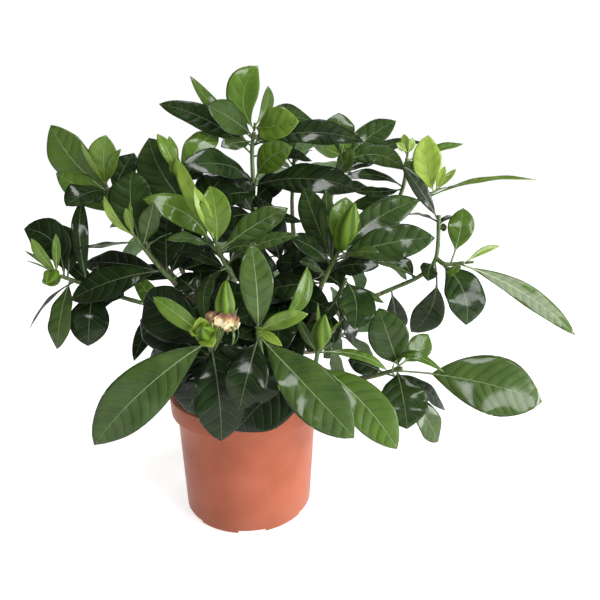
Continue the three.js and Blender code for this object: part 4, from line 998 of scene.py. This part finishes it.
def grow_shoot(shoot):
    """The green stem with its full-grown leaves, and the young leaves and bud at its tip."""
    places = [seen(place) for place in shoot["stem"]]
    end = places[-1]
    way = (end - places[-2]).normalized()
    counts, leaves = {}, []
    for row in [*shoot["leaves"], *shoot.get("more", [])]:
        counts[row[0]] = counts.get(row[0], 0) + 1
        leaves.append(shoot_leaf(root_of(places, counts[row[0]], row), row, FOLD))
    stem = tapered(curved(places), STEM_START, STEM_END)
    stub = [end + way * GAP, end + way * TIP_STUB]
    rows = shoot.get("young", [])
    young = [shoot_leaf(young_root(stub, way, order / len(rows), row), row, YOUNG_FOLD)
             for order, row in enumerate(rows)]
    bud = None
    if "bud" in shoot:
        across, down, near, width = shoot["bud"][1:]
        bud = (stub[0].lerp(stub[1], 0.5), seen((across, down, near)), width)
    return stem, leaves, [(place, STUB_RADIUS) for place in stub], young, bud


def limb(shoot):
    """The limb that carries a shoot, from its woody stem straight into the shoot's foot."""
    trunk, place = shoot["wood"]
    places = [seen(spot) for spot in shoot["stem"]]
    way = (places[1] - places[0]).normalized()
    route = [seen(spot) for spot in (TRUNKS[trunk][place], *shoot.get("limb", []))]
    return tapered(curved([*route, places[0] - way * GAP], way), LIMB_START, STEM_START)


def turned(name, profile, sides):
    """A closed shape turned round the Z axis from (radius, height) corners, in millimetres."""
    points, faces, rings = [], [], []
    for radius, height in profile:
        count = sides if radius else 1
        rings.append(range(len(points), len(points) + count))
        points += [(radius * MM * math.cos(TURN * s / sides), radius * MM * math.sin(TURN * s / sides),
                    height * MM) for s in range(count)]
    for low, high in zip(rings, rings[1:]):
        for s in range(sides):
            t = (s + 1) % sides
            corners = [low[s % len(low)], low[t % len(low)], high[t % len(high)], high[s % len(high)]]
            faces.append(tuple(dict.fromkeys(corners)))
    return new_mesh(name, points, faces=faces)


def wall_radius(height):
    """The radius of the pot's outer face at a height below the collar."""
    return FOOT_RADIUS + (SHOULDER_RADIUS - FOOT_RADIUS) * height / COLLAR_FOOT


def rounded(centre, radius, start, stop, steps=6):
    """Points on an arc, with its angles in degrees."""
    turns = [math.radians(start + (stop - start) * step / steps) for step in range(steps + 1)]
    return [(centre[0] + radius * math.cos(turn), centre[1] + radius * math.sin(turn)) for turn in turns]


def pot_profile():
    """The pot's section: from the base's middle out to the heel, up to the lip, and down the inside."""
    ring_outer = wall_radius(HEEL_RADIUS) - HEEL_RADIUS
    ring_inner = ring_outer - FOOT_RING
    lip = RIM_RADIUS - 1.6
    return [
        (0, 0), (CENTRE_DISC - 1, 0), *rounded((CENTRE_DISC, 0.7), 0.7, -90, 0, 3),
        (CENTRE_DISC + 1.6, BASE_RISE - 0.6), (CENTRE_DISC + 2.4, BASE_RISE),
        (ring_inner - 2.4, BASE_RISE), (ring_inner - 1.6, BASE_RISE - 0.6),
        (ring_inner - 0.4, 0.5), (ring_inner + 0.3, 0),
        *rounded((ring_outer, HEEL_RADIUS), HEEL_RADIUS, -90, -2),
        *[(wall_radius(height), height) for height in (20, 45, 70)],
        (SHOULDER_RADIUS - 0.05, COLLAR_FOOT - 1.2), (SHOULDER_RADIUS + 0.5, COLLAR_FOOT - 0.35),
        *rounded((RIM_RADIUS - 2.6, COLLAR_FOOT + 1.9), 1.9, -90, -5, 6),
        (RIM_RADIUS - 0.35, COLLAR_FOOT + 8), (RIM_RADIUS, POT_HEIGHT - 3),
        *rounded((lip, POT_HEIGHT - 1.6), 1.6, 0, 90, 5),
        *rounded((lip - 0.6, POT_HEIGHT - 0.9), 0.9, 90, 180, 4),
        (RIM_RADIUS - 0.8 - 2 * WALL, COLLAR_FOOT + 3.2), (SHOULDER_RADIUS - WALL + 0.4, COLLAR_FOOT + 0.4),
        (SHOULDER_RADIUS - WALL, COLLAR_FOOT - 2), (wall_radius(45) - WALL, 45),
        *rounded((FOOT_RADIUS - WALL - 3, BASE_RISE + WALL + 3), 3, 0, -90, 5), (0, BASE_RISE + WALL),
    ]


def cut_by(mesh, cutters):
    """A mesh with the cutters' shapes taken out of it."""
    body, knife = placed("blank", mesh), placed("cutters", cutters)
    cut = body.modifiers.new("cut", "BOOLEAN")
    cut.operation = "DIFFERENCE"
    cut.solver = "EXACT"
    cut.object = knife
    result = bpy.data.meshes.new_from_object(body.evaluated_get(bpy.context.evaluated_depsgraph_get()))
    bpy.data.objects.remove(body)
    bpy.data.objects.remove(knife)
    return result


def pot_cutters():
    """The foot notches and the drain holes as closed blocks and rods."""
    points, faces = [], []
    for notch in range(FOOT_NOTCHES):
        turn = NOTCH_TURN + notch / FOOT_NOTCHES * TURN
        first = len(points)
        for x, y, z in [(x, y, z) for x in (-1, 1) for y in (-1, 1) for z in (-1, 1)]:
            spot = Vector((FOOT_RADIUS + x * NOTCH_DEPTH / 2, y * NOTCH_WIDTH / 2, z * NOTCH_HEIGHT))
            spot.rotate(Matrix.Rotation(turn, 3, "Z"))
            points.append(tuple(spot * MM))
        faces += [tuple(first + i for i in face) for face in
                  ((0, 1, 3, 2), (4, 6, 7, 5), (0, 4, 5, 1), (2, 3, 7, 6), (0, 2, 6, 4), (1, 5, 7, 3))]
    channel = (CENTRE_DISC + FOOT_RADIUS - FOOT_RING - HEEL_RADIUS) / 2
    sides = DRAIN_SIDES
    for hole in range(DRAIN_HOLES):
        turn = hole / DRAIN_HOLES * TURN
        first = len(points)
        for z in (-10, 10):
            points += [((channel * math.cos(turn) + DRAIN_RADIUS * math.cos(TURN * s / sides)) * MM,
                        (channel * math.sin(turn) + DRAIN_RADIUS * math.sin(TURN * s / sides)) * MM,
                        z * MM) for s in range(sides)]
        faces += [(first + s, first + (s + 1) % sides, first + sides + (s + 1) % sides, first + sides + s)
                  for s in range(sides)]
        top = first + sides
        faces += [tuple(reversed(range(first, top))), tuple(range(top, top + sides))]
    return new_mesh("cutters", points, faces=faces)


def soil_mesh():
    """The compost as a closed lump: its top is humped and uneven, and its sides follow the pot's wall."""
    floor = BASE_RISE + WALL + GAP
    top = POT_HEIGHT - SOIL_DEPTH
    rim = SHOULDER_RADIUS - WALL - 3 * GAP
    foot = FOOT_RADIUS - WALL - 3 * GAP - 3
    shares = [1 - ring / SOIL_RINGS for ring in range(SOIL_RINGS)]
    profile = [(0, floor), (foot, floor), (foot + 3, floor + 3), (rim, COLLAR_FOOT - WALL), (rim, top - 0.8),
               *[(rim * share, top + SOIL_HUMP * (1 - share ** 2)) for share in shares], (0, top + SOIL_HUMP)]
    mesh = turned("compost", profile, SOIL_SIDES)
    open_top = []
    for vertex in mesh.vertices:
        x, y, z = vertex.co / MM
        on_top = z > top - 0.9
        open_top.append(1.0 if on_top else 0.0)
        if on_top and math.hypot(x, y) < rim - 1:
            # Broad lumps of about a millimetre, and grain by luck
            lumps = math.sin(x * 0.31 + 1.3 * math.sin(y * 0.17)) * math.cos(y * 0.27 + 0.6)
            vertex.co.z += (0.9 * lumps + 1.3 * (chance(round(x * 7) + 131 * round(y * 7)) - 0.5)) * MM
    mesh.attributes.new("open_top", "FLOAT", "POINT").data.foreach_set("value", open_top)
    mesh.materials.append(MATERIALS["peat"])
    return mesh


CONE_FOOT, CONE_TIP = seen(CONE_FOOT_PLACE), seen(CONE_TIP_PLACE)
CONE_WAY = (CONE_TIP - CONE_FOOT).normalized()


def withered_petals():
    """Spent petals that hang and curl round the foot of the green cone. They differ by luck, in how far
    they stand off, their length and width, and their curl."""
    centre = CONE_FOOT.lerp(CONE_TIP, PETAL_PLACE)
    petals = []
    for petal in range(PETALS):
        luck = chance(petal + 3)
        own = chance(petal + 40)
        out = outward(CONE_WAY, petal / PETALS * TURN)
        base = centre + out * (CONE_RADIUS + PETAL_ROOM)
        tip = base + out * (0.5 + 2 * luck) - CONE_WAY * (PETAL_LENGTH + 5 * own) + PETAL_LEAN
        petals.append(blade(base, tip, PETAL_WIDTH - 2 * luck, CONE_WAY * 0.3 + out, 0.2 + 0.14 * own,
                            0.3 * (own - 0.5), 0.02, 8, 0.5, 1.6))
    return petals


def dried_sepals():
    """The narrow lobes of the calyx, which hang dry under the petals and differ by luck."""
    sepals = []
    for sepal in range(SEPALS):
        luck = chance(sepal + 70)
        out = outward(CONE_WAY, (sepal + 0.6 * luck) / SEPALS * TURN)
        base = CONE_FOOT + out * CONE_RADIUS
        tip = base + out * (4 + 3 * luck) - CONE_WAY * (SEPAL_LENGTH + 7 * chance(sepal + 90))
        sepals.append(blade(base, tip, SEPAL_WIDTH, out + CONE_WAY * 0.4, 0.3, 0.4 * (luck - 0.5),
                            0.02, 30, 0.3))
    return sepals


wood = {name: [tapered(curved([seen(place) for place in places]), TRUNK_FOOT, TRUNK_TOP)]
        for name, places in TRUNKS.items()}
greens = {}
for name, shoot in SHOOTS.items():
    stem, leaves, stub, young, bud = grow_shoot(shoot)
    home = greens.setdefault(shoot.get("joins", name), {"stems": [], "leaves": []})
    home["stems"].append(stem)
    home["leaves"] += leaves
    if "wood" in shoot:
        wood[shoot["wood"][0]].append(limb(shoot))
    if young or bud:
        tips = [grow_stems(name, [stub], "stem")]
        if young:
            tips.append(grow_leaves(name, young, "young", "young_under", **YOUNG_BLADES))
        if bud:
            tips.append(spindle_mesh(name, *bud, **BUD))
        piece(name + "_new_growth", tips, name + "_tip")

for number, (name, shoot) in enumerate(BACK_SHOOTS.items()):
    line = curved([seen(place) for place in shoot["stem"]])
    greens[name] = {"stems": [tapered(line, STEM_START, STEM_END)], "leaves": back_blades(shoot, number)}
    wood[shoot["wood"][0]].append(limb(shoot))

for name, parts in greens.items():
    meshes = [grow_leaves(name, parts["leaves"], "leaf", "leaf_under")]
    if name == "front_left":
        stalk = [*[seen(place) for place in STALK_PLACES], CONE_FOOT, CONE_FOOT.lerp(CONE_TIP, 0.3)]
        parts["stems"].append(tapered(curved(stalk), STALK_RADIUS, CONE_RADIUS))
        meshes.append(spindle_mesh(name, CONE_FOOT.lerp(CONE_TIP, 0.1), CONE_TIP, CONE_WIDTH, **CONE))
        meshes.append(grow_leaves("sepals", dried_sepals(), "young", "young_under", **SEPAL_BLADES))
    meshes.append(grow_stems(name, parts["stems"], "stem"))
    piece(name + "_foliage", meshes, name + "_leaves")

for name, stems in wood.items():
    piece(name.replace("trunk", "woody_stem"), [grow_stems(name, stems, "bark", **BARK_SKIN)], name)

petals = grow_leaves("petals", withered_petals(), "petal", "petal", **PETAL_BLADES)
piece("spent_petals", [petals], "withered_petals")

compost = soil_mesh()
crumbs = grown("crumbs", compost.copy(), CRUMBS, {"Peat": MATERIALS["peat"]})
piece("peat_compost", [compost, crumbs], "soil")

pot = cut_by(turned("pot_blank", pot_profile(), POT_SIDES), pot_cutters())
pot.materials.clear()
pot.materials.append(MATERIALS["pot"])
pot.shade_smooth()
pot.set_sharp_from_angle(angle=SHARP_ANGLE)
piece("nursery_pot", [pot], "pot")

# A flat white floor, in metres, that glows as painted light. Its painted glow is weakest near the pot, which
# paints a faint shade round it where a faint cast shadow also falls, and grows further off until the floor is
# as bright as the walls
FLOOR_REACH = 6
GLOW_DIM_REACH = 0.15
GLOW_FULL = 0.9
backdrop, floor_tree, way_off = new_material("pale_backdrop")
# Painted glow: emission that grows with the distance from the pot, so the floor is painted darker round the
# pot and bright far off
painted_glow = add(floor_tree, "ShaderNodeMapRange", {
    "Value": way_off.length(), "From Min": GLOW_DIM_REACH, "From Max": GLOW_FULL, "To Min": 0.7, "To Max": 1.0},
    interpolation_type="SMOOTHSTEP")
finish_material(backdrop, {"Base Color": linear("#cfcfcf"), "Roughness": 0.8, "Specular IOR Level": 0.2,
                           "Emission Color": linear("#ffffff"), "Emission Strength": painted_glow})
corners = [(x * FLOOR_REACH, y * FLOOR_REACH, 0) for x, y in ((-1, -1), (1, -1), (1, 1), (-1, 1))]
floor = placed("floor", new_mesh("floor", corners, faces=[(0, 1, 2, 3)]))
floor.data.materials.append(backdrop)

LIGHTS = {
    # name: (place in metres, size in metres, watts): a window to the right with its lower pane, a
    # softbox over the plant, and another above and behind the camera
    "window": ((0.92, -0.84, 0.68), 0.56, 13.5),
    "low_window": ((0.95, -0.2, 0.1), 0.35, 8),
    "top": ((0.0, 0.15, 1.5), 0.45, 9.2),
    "front": ((0.15, -1.1, 1.0), 0.26, 4),
}
LIGHTS_AIM = Vector((0.02, 0, 0.2))
for name, (place, size, watts) in LIGHTS.items():
    lamp = bpy.data.lights.new(name, "AREA")
    lamp.size = size
    lamp.energy = watts
    holder = placed(name, lamp)
    holder.location = place
    holder.rotation_euler = (LIGHTS_AIM - holder.location).to_track_quat("-Z", "Y").to_euler()

# A white room: its walls are bright behind and to the right, and its ceiling is dim beside the softbox
ROOM_SIDE = 0.9
ROOM_BACK = 1.0
ROOM_FRONT = 0.3
ROOM_HIGH = 0.1
world = bpy.data.worlds.new("white_room")
bpy.context.scene.world = world
world.use_nodes = True
room = world.node_tree
room.nodes.clear()
x, y, z = add(room, "ShaderNodeSeparateXYZ", {0: add(room, "ShaderNodeTexCoord", out="Generated")},
              ("X", "Y", "Z"))
walls = add(room, "ShaderNodeMapRange", {
    "Value": x * ROOM_SIDE + y, "From Min": -0.5, "From Max": 0.35, "To Min": ROOM_FRONT,
    "To Max": ROOM_BACK}, interpolation_type="SMOOTHSTEP")
bright = add(room, "ShaderNodeMapRange", {
    "Value": z, "From Min": 0.27, "From Max": 0.5, "To Min": walls, "To Max": ROOM_HIGH},
    interpolation_type="SMOOTHSTEP")
sky = add(room, "ShaderNodeBackground", {"Color": linear("#ffffff"), "Strength": bright})
add(room, "ShaderNodeOutputWorld", {"Surface": sky}, out=None)
bpy.context.scene.view_settings.view_transform = "Standard"

camera_data = bpy.data.cameras.new("camera")
camera_data.lens = LENS
camera_data.sensor_width = FILM
camera = placed("camera", camera_data)
camera.location = EYE * MM
camera.rotation_euler = (math.pi / 2 - EYE_DOWN, 0, 0)
bpy.context.scene.camera = camera
